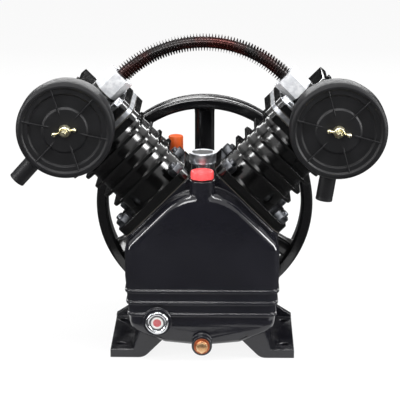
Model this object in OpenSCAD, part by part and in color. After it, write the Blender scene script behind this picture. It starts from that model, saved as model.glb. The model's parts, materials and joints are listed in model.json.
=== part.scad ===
// Two-cylinder air compressor pump head with a 90 degree V, splash lubricated and belt driven.
// X runs to the right, Y to the rear, Z up. The origin is on the base plane, midway between the
// four mounting holes. Along means the distance from the crank axis up the slope of one bank, and
// across means the distance from the bank's centre line, positive towards the outer, lower side.

/* [Mechanism] */
// Angle between the two cylinder banks, in degrees
v_angle = 90; // [86:1:94]
// Cylinder bore
bore = 65; // [58:1:68]
// Distance from the crank axis to the crankpin, half of the stroke
crank_throw = 23; // [18:1:26]
// Diameter of the crankpin
crankpin_d = 26; // [22:1:30]
// Distance in Y between the two cylinder centres, one connecting rod's width
bank_stagger = 16; // [10:1:18]
// Piston length above the wrist pin
crown_h = 18; // [17:0.5:22]
// Piston length below the wrist pin
skirt_h = 22; // [18:1:26]
// Diameter of the wrist pin
wrist_pin_d = 16; // [12:1:18]

/* [Crankcase] */
// Height of the crank axis above the base plane
crank_height = 130; // [128:1:150]
// Front face of the crankcase, forward of the origin
case_front = 75; // [74:1:84]
// Rear face of the crankcase, behind the origin
case_rear = 72; // [68:1:80]
// Thickness of the front wall
front_wall = 11; // [9:0.5:13]
// Thickness of the casting round the crank
case_wall = 7; // [6:0.5:9]
// Height of the sump's underside above the base plane
sump_low = 17.5; // [14:0.5:22]
// Half width of the sump below the beads
belly_half = 78; // [74:0.5:80]
// Rounding of the front face's edge
face_round = 9; // [5:0.5:9.5]
// Height of the lowest moulded bead
bead_low = 54; // [50:0.5:58]
// Distance between two moulded beads
bead_pitch = 13; // [9:0.5:15]
// Number of moulded beads
bead_count = 3; // [2:1:3]

/* [Feet] */
// Distance between the mounting holes from side to side
hole_span_x = 180; // [176:1:190]
// Distance between the mounting holes from front to rear
hole_span_y = 80; // [60:1:90]
// Diameter of the mounting holes
hole_d = 9; // [7:0.5:11]
// Length of each foot rail
foot_length = 120; // [110:1:126]
// Thickness of each foot rail
foot_t = 9.3; // [7:0.1:12]
// Metal outside each mounting hole's centre
foot_edge = 10; // [8:0.5:14]

/* [Cylinders] */
// Half width of the base flange towards the V
flange_in = 43; // [42:0.5:46]
// Half width of the base flange on the outer side
flange_out = 57; // [55:0.5:60]
// Half depth of the base flange from front to rear
flange_y = 45; // [44:0.5:46]
// Thickness of the base flange
flange_t = 10; // [8:0.5:11]
// Wall of the cylinder barrel
barrel_wall = 6; // [5:0.5:7]
// Half width of the cooling fins
fin_half = 41; // [40:0.5:46]
// Thickness of one cooling fin
fin_t = 3.4; // [2.5:0.1:5]
// Distance between two cooling fins
fin_pitch = 14; // [11:0.5:15]
// Number of cooling fins
fin_count = 4; // [3:1:4]
// Thickness of the top flange
top_flange_t = 8; // [6:0.5:10]

/* [Heads] */
// Half width of the head's flange, across the bank
head_half = 50; // [49:0.5:54]
// Half depth of the head's flange, from front to rear
head_half_y = 47; // [46:0.5:50]
// Thickness of the head's flange
head_flange_t = 8; // [6:0.5:8]
// Half width of the head's raised body
dome_half = 32; // [30:0.5:32.5]
// Half depth of the head's raised body
dome_half_y = 39; // [36:0.5:40]
// Height of the whole head
head_h = 54; // [52:0.5:60]
// Thickness of the valve plate
valve_plate_t = 5; // [3:0.5:7]
// Thickness of every gasket
gasket_t = 1; // [0.5:0.1:1.5]

/* [Filters] */
// Diameter of the filter cover
filter_d = 102; // [96:1:108]
// Front of the filter cover, forward of the origin
filter_front = 99; // [99:0.5:104]
// Depth of the filter cover
cover_depth = 23; // [20:0.5:26]
// Depth of the filter base
base_depth = 20.5; // [19:0.5:20.5]
// Wall of the filter housings
filter_wall = 2.5; // [2:0.1:3]
// Height of the filter's centre above the head's underside, along the bank
intake_rise = 34; // [32:0.5:36]
// Distance of the filter's centre from the bank's centre line
intake_off = 7.4; // [4:0.1:10]
// Outer diameter of the intake snorkels
snorkel_d = 18; // [14:0.5:18.5]
// Reach of the snorkels from the filter's centre
snorkel_reach = 82; // [72:1:90]
// Direction of the left snorkel in the front view, in degrees
snorkel_left = 228; // [200:1:250]
// Direction of the right snorkel in the front view, in degrees
snorkel_right = 261; // [250:1:340]

/* [Cooler tube] */
// Diameter of the cooler tube's fins
cooler_fin_d = 19; // [16:0.5:22]
// Thickness of one fin
cooler_fin_t = 1; // [0.6:0.1:1.2]
// Distance between two fins along the tube's centre line
cooler_pitch = 3.2; // [2.8:0.1:6]
// Outer diameter of the tube under the fins
cooler_tube_d = 11; // [9:0.5:12]
// Wall of the tube
cooler_wall = 1.2; // [1:0.1:1.5]
// Height of the cooler port above the head's underside, along the bank
port_rise = 24; // [21:0.5:28]
// Size of the cooler's hexagons across their flats
cooler_hex = 27; // [24:0.5:28]

/* [Outlet] */
// Outer diameter of the discharge pipe
pipe_d = 14; // [12:0.5:15]
// Distance of the discharge pipe behind the origin
pipe_y = 56; // [55:0.5:60]
// Distance of the discharge pipe from the bank's centre line, towards the V
pipe_in = 24; // [20:0.5:26]
// Diameter of the outlet's cap
cap_d = 16.5; // [14:0.5:19]
// Height of the outlet's cap
cap_h = 19; // [14:0.5:24]

/* [Flywheel] */
// Diameter of the flywheel
wheel_d = 250; // [236:1:254]
// Width of the flywheel's rim
rim_w = 26; // [22:1:30]
// Radial thickness of the rim
rim_t = 13; // [12:0.5:16]
// Number of spokes, which also blow air over the cylinders
spoke_count = 3; // [3:1:5]
// Width of one spoke
spoke_w = 24; // [18:1:28]
// Thickness of one spoke
spoke_t = 10; // [8:0.5:12]
// Pitch of the spokes about their own length, in degrees
spoke_pitch = 22; // [0:1:30]
// Width of the belt groove at its mouth
groove_w = 13; // [11:0.5:14]
// Depth of the belt groove
groove_depth = 8.5; // [7:0.5:9]
// Gap between the rear cover's hub and the flywheel's hub
hub_gap = 4; // [2:0.5:8]

/* [Plugs] */
// Place of the oil filler, forward of the origin
filler_y = 61.5; // [61:0.5:63]
// Diameter of the red filler plug
plug_d = 25; // [20:0.5:25]
// Height of the red filler plug above its neck
plug_h = 8.5; // [6:0.5:12]
// Place of the breather, forward of the origin
breather_y = 30; // [24:0.5:32]
// Diameter of the breather
breather_d = 29; // [24:0.5:29.5]
// Height of the breather's body
breather_h = 12; // [10:0.5:18]
// Place of the sight glass, left of the origin
sight_x = 48; // [42:0.5:52]
// Height of the sight glass
sight_z = 46.4; // [44:0.2:50]
// Diameter of the sight glass's bezel
sight_d = 25; // [22:0.5:27]
// Height of the drain plug
drain_z = 22; // [20:0.5:26]

/* [Hidden] */
$fn = 64;

// One overrun serves every cut
over = 1;
// Radial clearance of pieces that fit or run in each other
fit = 0.05;
// Radial clearance of bolts and studs in plain holes
bolt_gap = 0.5;
// Thickness of the slices that a rounded casting is stretched over
slice = 0.1;
// Sides of the round slices in a stretched casting
slice_sides = 40;

// Crank chamber
tilt = v_angle / 2;
web_rim = 8;
chamber_gap = 7;
swing_r = crank_throw + crankpin_d / 2 + web_rim;
chamber_r = swing_r + chamber_gap;
arch_r = chamber_r + case_wall;
deck_rise = 2;
deck = arch_r + deck_rise;
chamber_front = case_front - front_wall;
rear_wall = 12;
chamber_rear = case_rear - rear_wall;

// Places up the slope of a bank, counted from the crank axis
skirt_gap = 5;
crown_gap = 1;
rod_length = deck + skirt_gap + skirt_h + crank_throw;
pin_side = crank_throw * sin(tilt);
pin_rest = crank_throw * cos(tilt) + sqrt(rod_length * rod_length - pin_side * pin_side);
cylinder_foot = deck + gasket_t;
cylinder_top = rod_length + crank_throw + crown_h + crown_gap;
plate_foot = cylinder_top + gasket_t;
plate_top = plate_foot + valve_plate_t;
head_foot = plate_top + gasket_t;
head_deck = head_foot + head_flange_t;
head_top = head_foot + head_h;
port_along = head_foot + port_rise;
intake_along = head_foot + intake_rise;

// Crankcase outline
case_half = deck * sin(tilt) + flange_out * cos(tilt);
shoulder_r = 16;
shoulder_x = case_half - shoulder_r;
shoulder_z = crank_height + (deck - deck_rise - shoulder_r - shoulder_x * sin(tilt)) / cos(tilt);
waist_z = bead_low + bead_pitch * (bead_count - 1) + shoulder_r;
belly_r = 15;
belly_z = bead_low - belly_r / 2;
keel_r = 9;
keel_rise = 3.5;
keel_half = 38;
bead_h = 3.2;
bead_out = 1.6;
deck_root = chamber_r / 2;
land_half = deck * sin(tilt) - flange_in * cos(tilt);
land_z = crank_height + deck * cos(tilt) + flange_in * sin(tilt);
land_gap = 0.5;
land_front = filler_y - plug_d / 2 - land_gap;
sump_wall = 8;
sump_corner = 18;
rear_flange_r = 66;
rear_flange_t = 5;
bolt_boss_r = 8;
bolt_boss_l = 14;

// Feet
foot_outer = hole_span_x / 2 + foot_edge;
foot_inner = 75;
foot_round = 14;
arch_half = 47;
gusset_t = 8;
gusset_h = 24;
gusset_toe = 3;

// Front bearing, rear bearing and seal
front_journal = 25;
front_ring_d = 52;
front_ring_w = 15;
front_pocket = 9;
bearing_front = case_front - front_pocket;
pocket_wall = 8;
rear_journal = 30;
rear_ring_d = 62;
rear_ring_w = 16;
ring_wall = 4;
ring_step = 0.8;
cover_r = 65;
cover_t = 11;
cover_spigot_r = chamber_r - fit;
cover_lip = 3;
cover_front = case_rear + gasket_t;
hub_r = 40;
hub_out = 8;
cover_back = cover_front + cover_t;
hub_back = cover_back + hub_out;
seal_d = 47;
seal_w = 7;
seal_front = hub_back - seal_w;
seal_space = 1;
rear_ring_front = seal_front - seal_space - rear_ring_w;
cover_bolt_r = 59;
cover_bolts = 6;
small_hex = 13;
small_d = 8;
small_head = 5.5;
cover_screw_depth = 10;

// Crankshaft
rod_space = 4;
crankpin_len = 2 * bank_stagger + rod_space;
web_t = 13;
web_hub_r = 24;
weight_drop = 6;
shoulder_d = 34;
rear_shoulder_d = 38;
shaft_d = 28;
wheel_hub_front = hub_back + hub_gap;
wheel_hub_w = 36;
wheel_hub_back = wheel_hub_front + wheel_hub_w;
wheel_hub_r = 27;
spoke_root_r = 20;
shaft_short = 2;
shaft_back = wheel_hub_back - shaft_short;
key_w = 8;
key_l = 28;
key_h = 7;
washer_t = 4;
washer_d = 40;
wheel_bolt_d = 12;
wheel_bolt_hex = 19;
wheel_bolt_head = 8;
wheel_bolt_depth = 22;
rim_front = wheel_hub_front + (wheel_hub_w - rim_w) / 2;
groove_floor = 7;
rim_lip = 2;

// Cylinders, their studs and nuts
stud_d = 9;
stud_edge = 9;
stud_edge_out = 12;
stud_in = flange_in - stud_edge;
stud_out = flange_out - stud_edge_out;
stud_y = flange_y - stud_edge;
stud_depth = 16;
stud_top = 3;
nut_hex = 15;
nut_h = 8;
corner_r = 12;
fin_corner = 15;
first_fin_gap = 9;
first_fin = cylinder_foot + flange_t + nut_h + stud_top + first_fin_gap;

// Pistons
piston_gap = 0.25;
piston_wall = 5;
crown_t = 7;
ring_h = 2.4;
ring_depth = 3;
ring_pitch = 4;
first_ring = 3;
ring_count = 3;
ring_slit = 1.2;
pin_boss_wall = 4;
pin_boss_d = wrist_pin_d + 2 * pin_boss_wall;
pin_boss_gap = 22;
wrist_pin_short = 9;
wrist_pin_l = bore - wrist_pin_short;
wrist_pin_bore = 9;

// Valve plate and reeds
port_hole_d = 9;
port_hole_x = 15;
port_hole_y = 10;
reed_t = 0.6;
reed_w = 13;
reed_l = 46;

// Heads and their bolts
head_corner = 10;
dome_corner = 9;
head_bolt_x = 41;
head_bolt_y = 38;
head_bolt_depth = 7;
pocket_x = 4;
pocket_half = 24;
pocket_half_y = 27;
pocket_top = 22;
head_rib_t = 4;
head_rib_gap = 5;
head_rib_drop = 9;
port_boss_d = 30;
port_boss_out = 2;
port_bore_d = 12;

// Filter, its nipple, element, stud and wing nut
filter_x = intake_along * sin(tilt) + intake_off * cos(tilt);
filter_z = crank_height + intake_along * cos(tilt) - intake_off * sin(tilt);
filter_r = filter_d / 2;
cover_back_face = filter_front - cover_depth;
base_back_face = cover_back_face - base_depth;
base_step = 2.5;
base_r = filter_r - base_step;
rim_chamfer = 5;
rim_step = 1.6;
ring_r = 38;
recess = 3;
ring_slope = 2;
disc_r = 24;
disc_slope = 1.5;
cover_rib_t = 1.6;
cover_rib_count = 6;
cover_rib_left = -12;
cover_rib_right = -15;
snorkel_wall = 2;
snorkel_y = base_back_face + base_depth / 2;
element_r = 41;
element_bore_r = 27;
element_gap = 4;
element_l = base_depth + cover_depth - 2 * filter_wall - element_gap;
nipple_hex = 24;
nipple_d = 20;
nipple_bore_d = 14;
nipple_sink = 8;
nipple_flange = 3;
filter_stud_d = 8;
filter_stud_out = 15;
spider_t = 3;
wing_hub_r = 6.5;
wing_hub_h = 7;
wing_span = 13;
wing_r = 5;
wing_t = 2.6;
wing_rise = 6;
wing_turn_left = 13;
wing_turn_right = -11;

// Cooler tube between the heads
adapter_t = 11;
adapter_sink = 10;
tube_upset = 0.6;
tube_upset_l = 1.5;
union_t = 14;
dome_port = dome_half + port_boss_out;
cooler_start = dome_port + adapter_t + union_t;
cooler_r = (port_along * sin(tilt) - cooler_start * cos(tilt)) / sin(tilt);
cooler_z = crank_height + port_along * cos(tilt) + cooler_start * sin(tilt) - cooler_r * cos(tilt);
cooler_sweep = 2 * tilt;
cooler_arc = cooler_r * cooler_sweep * PI / 180;
cooler_fins = floor((cooler_arc - cooler_fin_t) / cooler_pitch);
cooler_turn = cooler_pitch / cooler_r * 180 / PI;

// Discharge pipe, its elbow and nut, the outlet block and its cap
elbow_rise = 26;
elbow_along = head_foot + elbow_rise;
elbow_d = 20;
elbow_sink = 8;
elbow_leg = 15;
pipe_wall = 1.5;
pipe_nut_hex = 22;
pipe_nut_l = 12;
pipe_corner_rise = 33;
pipe_corner = deck + pipe_corner_rise;
pipe_drop = 12;
pipe_knee = 1;
pipe_socket = 8;
pipe_x = -bank_x(pipe_corner, -pipe_in);
block_top = bank_z(pipe_corner, -pipe_in) - pipe_drop;
block_gap = 17.4;
block_r = 9.5;
block_h = 17;
outlet_thread_d = 13;
outlet_thread_h = 15;
outlet_bore_d = 8;
outlet_collar_h = 2;
cap_bead = 0.8;
cap_bead_h = 3;

// Oil filler, breather, sight glass and drain
neck_d = 27;
neck_drop = 2;
neck_top = land_z - neck_drop;
filler_bore_d = 16;
plug_stem = 12;
plug_notch = 3;
plug_notch_count = 6;
seal_t = 1.4;
breather_neck_d = 14;
breather_rise = 9;
breather_base = land_z + breather_rise;
breather_sink = 9;
breather_round = 4;
sight_boss_d = 31;
sight_boss_out = 4;
sight_face = case_front + sight_boss_out;
bezel_t = 3.5;
bezel_spigot_d = 18;
bezel_spigot_l = 8;
lens_d = 17;
lens_t = 2;
sight_hole_d = 12;
reflector_t = 1;
drain_boss_d = 22;
drain_boss_out = 9;
drain_hex = 11;
drain_hex_h = 6;
drain_d = 12;
drain_sink = 9;
drain_washer_d = 17;
drain_washer_t = 1.5;

// Distance of a hexagon's corners from its centre, from its size across flats
function hex_r(flats) = flats / 2 / cos(180 / 6);
function bank_y(side) = side * bank_stagger / 2;
function bank_x(along, across) = along * sin(tilt) + across * cos(tilt);
function bank_z(along, across) = crank_height + along * cos(tilt) - across * sin(tilt);

// Sets children on one bank: side -1 is the left one, 1 the right one
module bank(side, y) {
    translate([0, y, crank_height])
        if (side < 0)
            mirror([1, 0, 0]) rotate([0, tilt, 0]) children();
        else
            rotate([0, tilt, 0]) children();
}

// Turns the children's Z towards the front, with X to the right and Y up in the front view
module facing_front(x, z) {
    translate([x, 0, z]) rotate([90, 0, 0]) children();
}

// A round bar on the crank axis, from one Y to another
module shaft(from, to, d) {
    translate([0, from, crank_height]) rotate([-90, 0, 0]) cylinder(d = d, h = to - from);
}

// Round bars at the rear cover's bolts, from one Y to another
module cover_holes(from, to, d) {
    translate([0, 0, crank_height]) rotate([-90, 0, 0]) for (i = [0 : cover_bolts - 1])
        rotate([0, 0, (i + 1 / 2) * 360 / cover_bolts]) translate([cover_bolt_r, 0, from])
            cylinder(d = d, h = to - from);
}

// A flat outline stretched along Y, seen from the front
module along_y(from, to) {
    translate([0, to, 0]) rotate([90, 0, 0]) linear_extrude(to - from) children();
}

// A rectangle with round corners, from its four sides
module round_rect(left, right, low, high, r) {
    translate([left + r, low]) square([right - left - 2 * r, high - low]);
    translate([left, low + r]) square([right - left, high - low - 2 * r]);
    for (x = [left + r, right - r], y = [low + r, high - r]) translate([x, y]) circle(r = r);
}

module round_plate(half_x, half_y, r, h) {
    linear_extrude(h) round_rect(-half_x, half_x, -half_y, half_y, r);
}

module hexagon(flats, h) {
    cylinder(r = hex_r(flats), h = h, $fn = 6);
}

module ring(outer, inner, h) {
    difference() {
        cylinder(d = outer, h = h);
        translate([0, 0, -over]) cylinder(d = inner, h = h + 2 * over);
    }
}

// One column of the crankcase's outline, with the front edge rounded
module case_column(x, z, r, grow) {
    for (turn = [0 : 30 : 90]) {
        inset = face_round * (1 - sin(turn));
        depth = case_front + grow - face_round * (1 - cos(turn));
        facing_front(x, z) translate([0, 0, depth - slice])
            cylinder(r = r + grow - inset, h = slice, $fn = slice_sides);
    }
    facing_front(x, z) translate([0, 0, -case_rear])
        cylinder(r = r + grow, h = slice, $fn = slice_sides);
}

// The crankcase's rounded outer form, grown outwards for the beads
module case_form(grow) {
    hull() {
        case_column(0, crank_height, arch_r, grow);
        for (side = [-1, 1]) {
            case_column(side * shoulder_x, shoulder_z, shoulder_r, grow);
            case_column(side * shoulder_x, waist_z, shoulder_r, grow);
            case_column(side * (belly_half - belly_r), belly_z, belly_r, grow);
            case_column(side * keel_half, sump_low + keel_rise + keel_r, keel_r, grow);
        }
        case_column(0, sump_low + keel_r, keel_r, grow);
    }
}

module case_beads() {
    intersection() {
        case_form(bead_out);
        for (i = [0 : bead_count - 1])
            translate([-case_half - over - bead_out, -case_front - over - bead_out,
                       bead_low + i * bead_pitch - bead_h / 2])
                cube([2 * (case_half + over + bead_out), case_front + case_rear + over, bead_h]);
    }
}

// The foot's section in the front view: a rail, its round inner edge and the web up to the sump
module foot_section() {
    slope_x = foot_inner - foot_round * tan(45 / 2);
    rise = sump_low + keel_rise;
    arc = [for (turn = [0 : 9 : 45])
        [slope_x - foot_round * sin(turn), foot_round * (1 - cos(turn))]];
    foot = arc[len(arc) - 1];
    polygon(concat(
        [[foot_outer, 0]],
        arc,
        [[foot[0] - (rise - foot[1]), rise],
         [arch_half - keel_r, rise + keel_r],
         [belly_half - belly_r, belly_z],
         [foot_inner, foot_t],
         [foot_outer, foot_t]]
    ));
}

// One foot: its rail, the web under the sump and the gusset at the rear
module foot() {
    root_x = (arch_half + belly_half) / 2;
    along_y(-foot_length / 2, foot_length / 2) foot_section();
    along_y(foot_length / 2 - gusset_t, foot_length / 2)
        polygon([[root_x, foot_t / 2], [foot_outer, foot_t / 2], [foot_outer, foot_t + gusset_toe],
                 [root_x, foot_t + gusset_toe + gusset_h]]);
}

module deck_block(side) {
    bank(side, bank_y(side)) translate([0, 0, deck_root])
        linear_extrude(deck - deck_root)
            round_rect(-flange_in, flange_out, -flange_y, flange_y, corner_r);
}

module sump_hollow() {
    wall_x = belly_half - sump_wall;
    floor_z = sump_low + keel_rise + sump_wall;
    along_y(-chamber_front, chamber_rear)
        polygon([[-wall_x + sump_corner, floor_z], [wall_x - sump_corner, floor_z],
                 [wall_x, floor_z + sump_corner], [wall_x, crank_height - chamber_r / 2],
                 [-wall_x, crank_height - chamber_r / 2], [-wall_x, floor_z + sump_corner]]);
}

module crankcase() {
    color("#26272b") difference() {
        union() {
            difference() {
                union() {
                    case_form(0);
                    case_beads();
                    foot();
                    mirror([1, 0, 0]) foot();
                    for (side = [-1, 1]) deck_block(side);
                    translate([-land_half, -land_front, crank_height])
                        cube([2 * land_half, land_front + flange_y, land_z - crank_height]);
                    shaft(case_rear - rear_flange_t, case_rear, 2 * rear_flange_r);
                    cover_holes(case_rear - bolt_boss_l, case_rear, 2 * bolt_boss_r);
                    translate([0, -filler_y, crank_height + chamber_r / 2])
                        cylinder(d = neck_d, h = neck_top - crank_height - chamber_r / 2);
                    facing_front(-sight_x, sight_z) translate([0, 0, chamber_front])
                        cylinder(d = sight_boss_d, h = sight_face - chamber_front);
                    facing_front(0, drain_z) translate([0, 0, chamber_front])
                        cylinder(d = drain_boss_d, h = front_wall + drain_boss_out);
                }
                shaft(-chamber_front, case_rear + over, 2 * chamber_r);
                sump_hollow();
            }
            shaft(-bearing_front, -bearing_front + front_ring_w, front_ring_d + 2 * pocket_wall);
        }
        for (x = [-1, 1], y = [-1, 1]) translate([x * hole_span_x / 2, y * hole_span_y / 2, -over])
            cylinder(d = hole_d, h = foot_t + 2 * over);
        shaft(-bearing_front, -bearing_front + front_ring_w + over, front_ring_d + 2 * fit);
        for (side = [-1, 1]) bank(side, bank_y(side)) {
            cylinder(d = bore, h = deck + over);
            for (x = [-stud_in, stud_out], y = [-stud_y, stud_y])
                translate([x, y, deck - stud_depth])
                    cylinder(d = stud_d + 2 * fit, h = stud_depth + over);
        }
        cover_holes(case_rear - cover_screw_depth, case_rear + over, small_d + 2 * fit);
        translate([0, -filler_y, crank_height + chamber_r / 2])
            cylinder(d = filler_bore_d + 2 * fit, h = neck_top);
        translate([0, -breather_y, crank_height + chamber_r / 2])
            cylinder(d = breather_neck_d + 2 * fit, h = land_z);
        facing_front(-sight_x, sight_z) translate([0, 0, chamber_front - over])
            cylinder(d = bezel_spigot_d + 2 * fit, h = front_wall + sight_boss_out + 2 * over);
        facing_front(0, drain_z) translate([0, 0, case_front + drain_boss_out - drain_sink - over])
            cylinder(d = drain_d + 2 * fit, h = drain_sink + 2 * over);
    }
}

module rear_bearing_cover() {
    color("#2b2c30") difference() {
        union() {
            shaft(cover_front, cover_back, 2 * cover_r);
            shaft(rear_ring_front - cover_lip, cover_front + over, 2 * cover_spigot_r);
            shaft(cover_back - over, hub_back, 2 * hub_r);
        }
        shaft(rear_ring_front - cover_lip - over, hub_back + over, rear_shoulder_d + 2 * bolt_gap);
        shaft(rear_ring_front - cover_lip - over, seal_front - seal_space, rear_ring_d + 2 * fit);
        shaft(seal_front, hub_back + over, seal_d + 2 * fit);
        cover_holes(cover_front - over, cover_back + over, small_d + 2 * bolt_gap);
    }
}

module rear_cover_gasket() {
    color("#6e6a5c") difference() {
        shaft(case_rear, cover_front, 2 * cover_r);
        shaft(case_rear - over, cover_front + over, 2 * chamber_r);
        cover_holes(case_rear - over, cover_front + over, small_d + 2 * bolt_gap);
    }
}

module rear_cover_bolts() {
    color("#c9ccd0") {
        cover_holes(case_rear - cover_screw_depth + bolt_gap, cover_back + small_head / 2, small_d);
        translate([0, 0, crank_height]) rotate([-90, 0, 0]) for (i = [0 : cover_bolts - 1])
            rotate([0, 0, (i + 1 / 2) * 360 / cover_bolts]) translate([cover_bolt_r, 0, cover_back])
                hexagon(small_hex, small_head);
    }
}

// A sealed ball bearing: two rings with a slightly sunk shield between them
module ball_bearing(from, width, outer, inner) {
    translate([0, from, crank_height]) rotate([-90, 0, 0]) rotate_extrude() polygon([
        [inner / 2, 0], [inner / 2 + ring_wall, 0], [inner / 2 + ring_wall, ring_step],
        [outer / 2 - ring_wall, ring_step], [outer / 2 - ring_wall, 0], [outer / 2, 0],
        [outer / 2, width], [outer / 2 - ring_wall, width],
        [outer / 2 - ring_wall, width - ring_step], [inner / 2 + ring_wall, width - ring_step],
        [inner / 2 + ring_wall, width], [inner / 2, width]
    ]);
}

module front_bearing() {
    color("#c2c5ca")
        ball_bearing(-bearing_front, front_ring_w, front_ring_d, front_journal + 2 * fit);
}

module rear_bearing() {
    color("#c2c5ca") ball_bearing(rear_ring_front, rear_ring_w, rear_ring_d, rear_journal + 2 * fit);
}

module shaft_seal() {
    color("#222222") difference() {
        shaft(seal_front, hub_back, seal_d);
        shaft(seal_front - over, hub_back + over, shaft_d + 2 * fit);
    }
}

module breather() {
    color("#d6d8dc") translate([0, -breather_y, 0]) {
        translate([0, 0, land_z - breather_sink])
            cylinder(d = breather_neck_d, h = breather_base - land_z + breather_sink);
        translate([0, 0, breather_base]) rotate_extrude() {
            square([breather_d / 2 - breather_round, breather_h]);
            square([breather_d / 2, breather_h - breather_round]);
            translate([breather_d / 2 - breather_round, breather_h - breather_round])
                circle(r = breather_round);
        }
    }
}

module sight_glass_bezel() {
    color("#d9dbde") facing_front(-sight_x, sight_z) difference() {
        union() {
            translate([0, 0, sight_face - bezel_spigot_l])
                cylinder(d = bezel_spigot_d, h = bezel_spigot_l + over);
            translate([0, 0, sight_face]) cylinder(d = sight_d, h = bezel_t);
        }
        translate([0, 0, sight_face - bezel_spigot_l - over])
            cylinder(d = sight_hole_d, h = bezel_spigot_l + bezel_t + 2 * over);
        translate([0, 0, sight_face + bezel_t - lens_t - reflector_t])
            cylinder(d = lens_d + 2 * fit, h = bezel_t + over);
    }
}

module sight_glass_lens() {
    color("#dfe9ea") facing_front(-sight_x, sight_z)
        translate([0, 0, sight_face + bezel_t - lens_t]) cylinder(d = lens_d, h = lens_t);
}

module sight_glass_reflector() {
    color("#d8392f") facing_front(-sight_x, sight_z)
        translate([0, 0, sight_face + bezel_t - lens_t - reflector_t])
            cylinder(d = lens_d, h = reflector_t);
}

module drain_plug() {
    face = case_front + drain_boss_out + drain_washer_t;
    color("#c99a6a") facing_front(0, drain_z) {
        translate([0, 0, face - drain_sink]) cylinder(d = drain_d, h = drain_sink + over);
        translate([0, 0, face]) hexagon(drain_hex, drain_hex_h);
        translate([0, 0, face]) cylinder(d = drain_hex + drain_washer_t, h = drain_washer_t);
    }
}

module drain_washer() {
    color("#b87b55") facing_front(0, drain_z) translate([0, 0, case_front + drain_boss_out])
        ring(drain_washer_d, drain_d + 2 * fit, drain_washer_t);
}

// A finned cylinder: base flange, barrel, fins and top flange in one casting
module cylinder_casting(side) {
    bank(side, bank_y(side)) difference() {
        union() {
            translate([0, 0, cylinder_foot]) linear_extrude(flange_t)
                round_rect(-flange_in, flange_out, -flange_y, flange_y, corner_r);
            translate([0, 0, cylinder_foot])
                cylinder(d = bore + 2 * barrel_wall, h = cylinder_top - cylinder_foot);
            for (i = [0 : fin_count - 1]) translate([0, 0, first_fin + i * fin_pitch])
                round_plate(fin_half, flange_y, fin_corner, fin_t);
            translate([0, 0, cylinder_top - top_flange_t])
                round_plate(head_half - bolt_gap, head_half_y - bolt_gap, corner_r, top_flange_t);
        }
        translate([0, 0, cylinder_foot - over])
            cylinder(d = bore, h = cylinder_top - cylinder_foot + 2 * over);
        for (x = [-stud_in, stud_out], y = [-stud_y, stud_y])
            translate([x, y, cylinder_foot - over])
                cylinder(d = stud_d + 2 * bolt_gap, h = flange_t + 2 * over);
        for (x = [-head_bolt_x, head_bolt_x], y = [-head_bolt_y, head_bolt_y])
            translate([x, y, cylinder_top - head_bolt_depth])
                cylinder(d = small_d + 2 * fit, h = head_bolt_depth + over);
    }
}

module cylinder_left() { color("#34302d") cylinder_casting(-1); }
module cylinder_right() { color("#34302d") cylinder_casting(1); }

module base_gaskets() {
    color("#6e6a5c") for (side = [-1, 1]) bank(side, bank_y(side)) difference() {
        translate([0, 0, deck]) linear_extrude(gasket_t)
            round_rect(-flange_in, flange_out, -flange_y, flange_y, corner_r);
        translate([0, 0, deck - over]) cylinder(d = bore, h = gasket_t + 2 * over);
        for (x = [-stud_in, stud_out], y = [-stud_y, stud_y]) translate([x, y, deck - over])
            cylinder(d = stud_d + 2 * bolt_gap, h = gasket_t + 2 * over);
    }
}

module at_studs() {
    for (side = [-1, 1]) bank(side, bank_y(side))
        for (x = [-stud_in, stud_out], y = [-stud_y, stud_y]) translate([x, y, 0]) children();
}

module cylinder_studs() {
    foot = deck - stud_depth + bolt_gap;
    top = cylinder_foot + flange_t + nut_h + stud_top;
    color("#b9bcc0") at_studs() translate([0, 0, foot]) cylinder(d = stud_d, h = top - foot);
}

module cylinder_nuts() {
    color("#c9ccd0") at_studs() translate([0, 0, cylinder_foot + flange_t]) difference() {
        hexagon(nut_hex, nut_h);
        translate([0, 0, -over]) cylinder(d = stud_d + 2 * fit, h = nut_h + 2 * over);
    }
}

// The outline that the valve plate and its gaskets share, with the head's bolt holes
module plate_blank(h) {
    difference() {
        round_plate(head_half - bolt_gap, head_half_y - bolt_gap, corner_r, h);
        for (x = [-head_bolt_x, head_bolt_x], y = [-head_bolt_y, head_bolt_y])
            translate([x, y, -over]) cylinder(d = small_d + 2 * bolt_gap, h = h + 2 * over);
    }
}

module suction_gaskets() {
    color("#6e6a5c") for (side = [-1, 1]) bank(side, bank_y(side))
        translate([0, 0, cylinder_top]) difference() {
            plate_blank(gasket_t);
            translate([0, 0, -over]) cylinder(d = bore, h = gasket_t + 2 * over);
        }
}

module valve_plates() {
    color("#8d9094") for (side = [-1, 1]) bank(side, bank_y(side))
        translate([0, 0, plate_foot]) difference() {
            plate_blank(valve_plate_t);
            for (x = [-port_hole_x, port_hole_x], y = [-port_hole_y, port_hole_y])
                translate([x, y, -over]) cylinder(d = port_hole_d, h = valve_plate_t + 2 * over);
        }
}

// A leaf with round ends that covers the two ports at one side of a valve plate
module reed() {
    linear_extrude(reed_t)
        round_rect(-reed_w / 2, reed_w / 2, -reed_l / 2, reed_l / 2, reed_w / 2 - fit);
}

module suction_reeds() {
    color("#9aa0a8") for (side = [-1, 1]) bank(side, bank_y(side))
        translate([port_hole_x, 0, plate_foot - reed_t]) reed();
}

module discharge_reeds() {
    color("#9aa0a8") for (side = [-1, 1]) bank(side, bank_y(side))
        translate([-port_hole_x, 0, plate_top]) reed();
}

// The two chambers that the head has over its valve plate
module head_chambers(h) {
    for (flip = [-1, 1]) translate([flip * (pocket_x + pocket_half) / 2, 0, 0])
        translate([-(pocket_half - pocket_x) / 2, -pocket_half_y, 0])
            cube([pocket_half - pocket_x, 2 * pocket_half_y, h]);
}

module head_gaskets() {
    color("#6e6a5c") for (side = [-1, 1]) bank(side, bank_y(side))
        translate([0, 0, plate_top]) difference() {
            plate_blank(gasket_t);
            translate([0, 0, -over]) head_chambers(gasket_t + 2 * over);
        }
}

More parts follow.
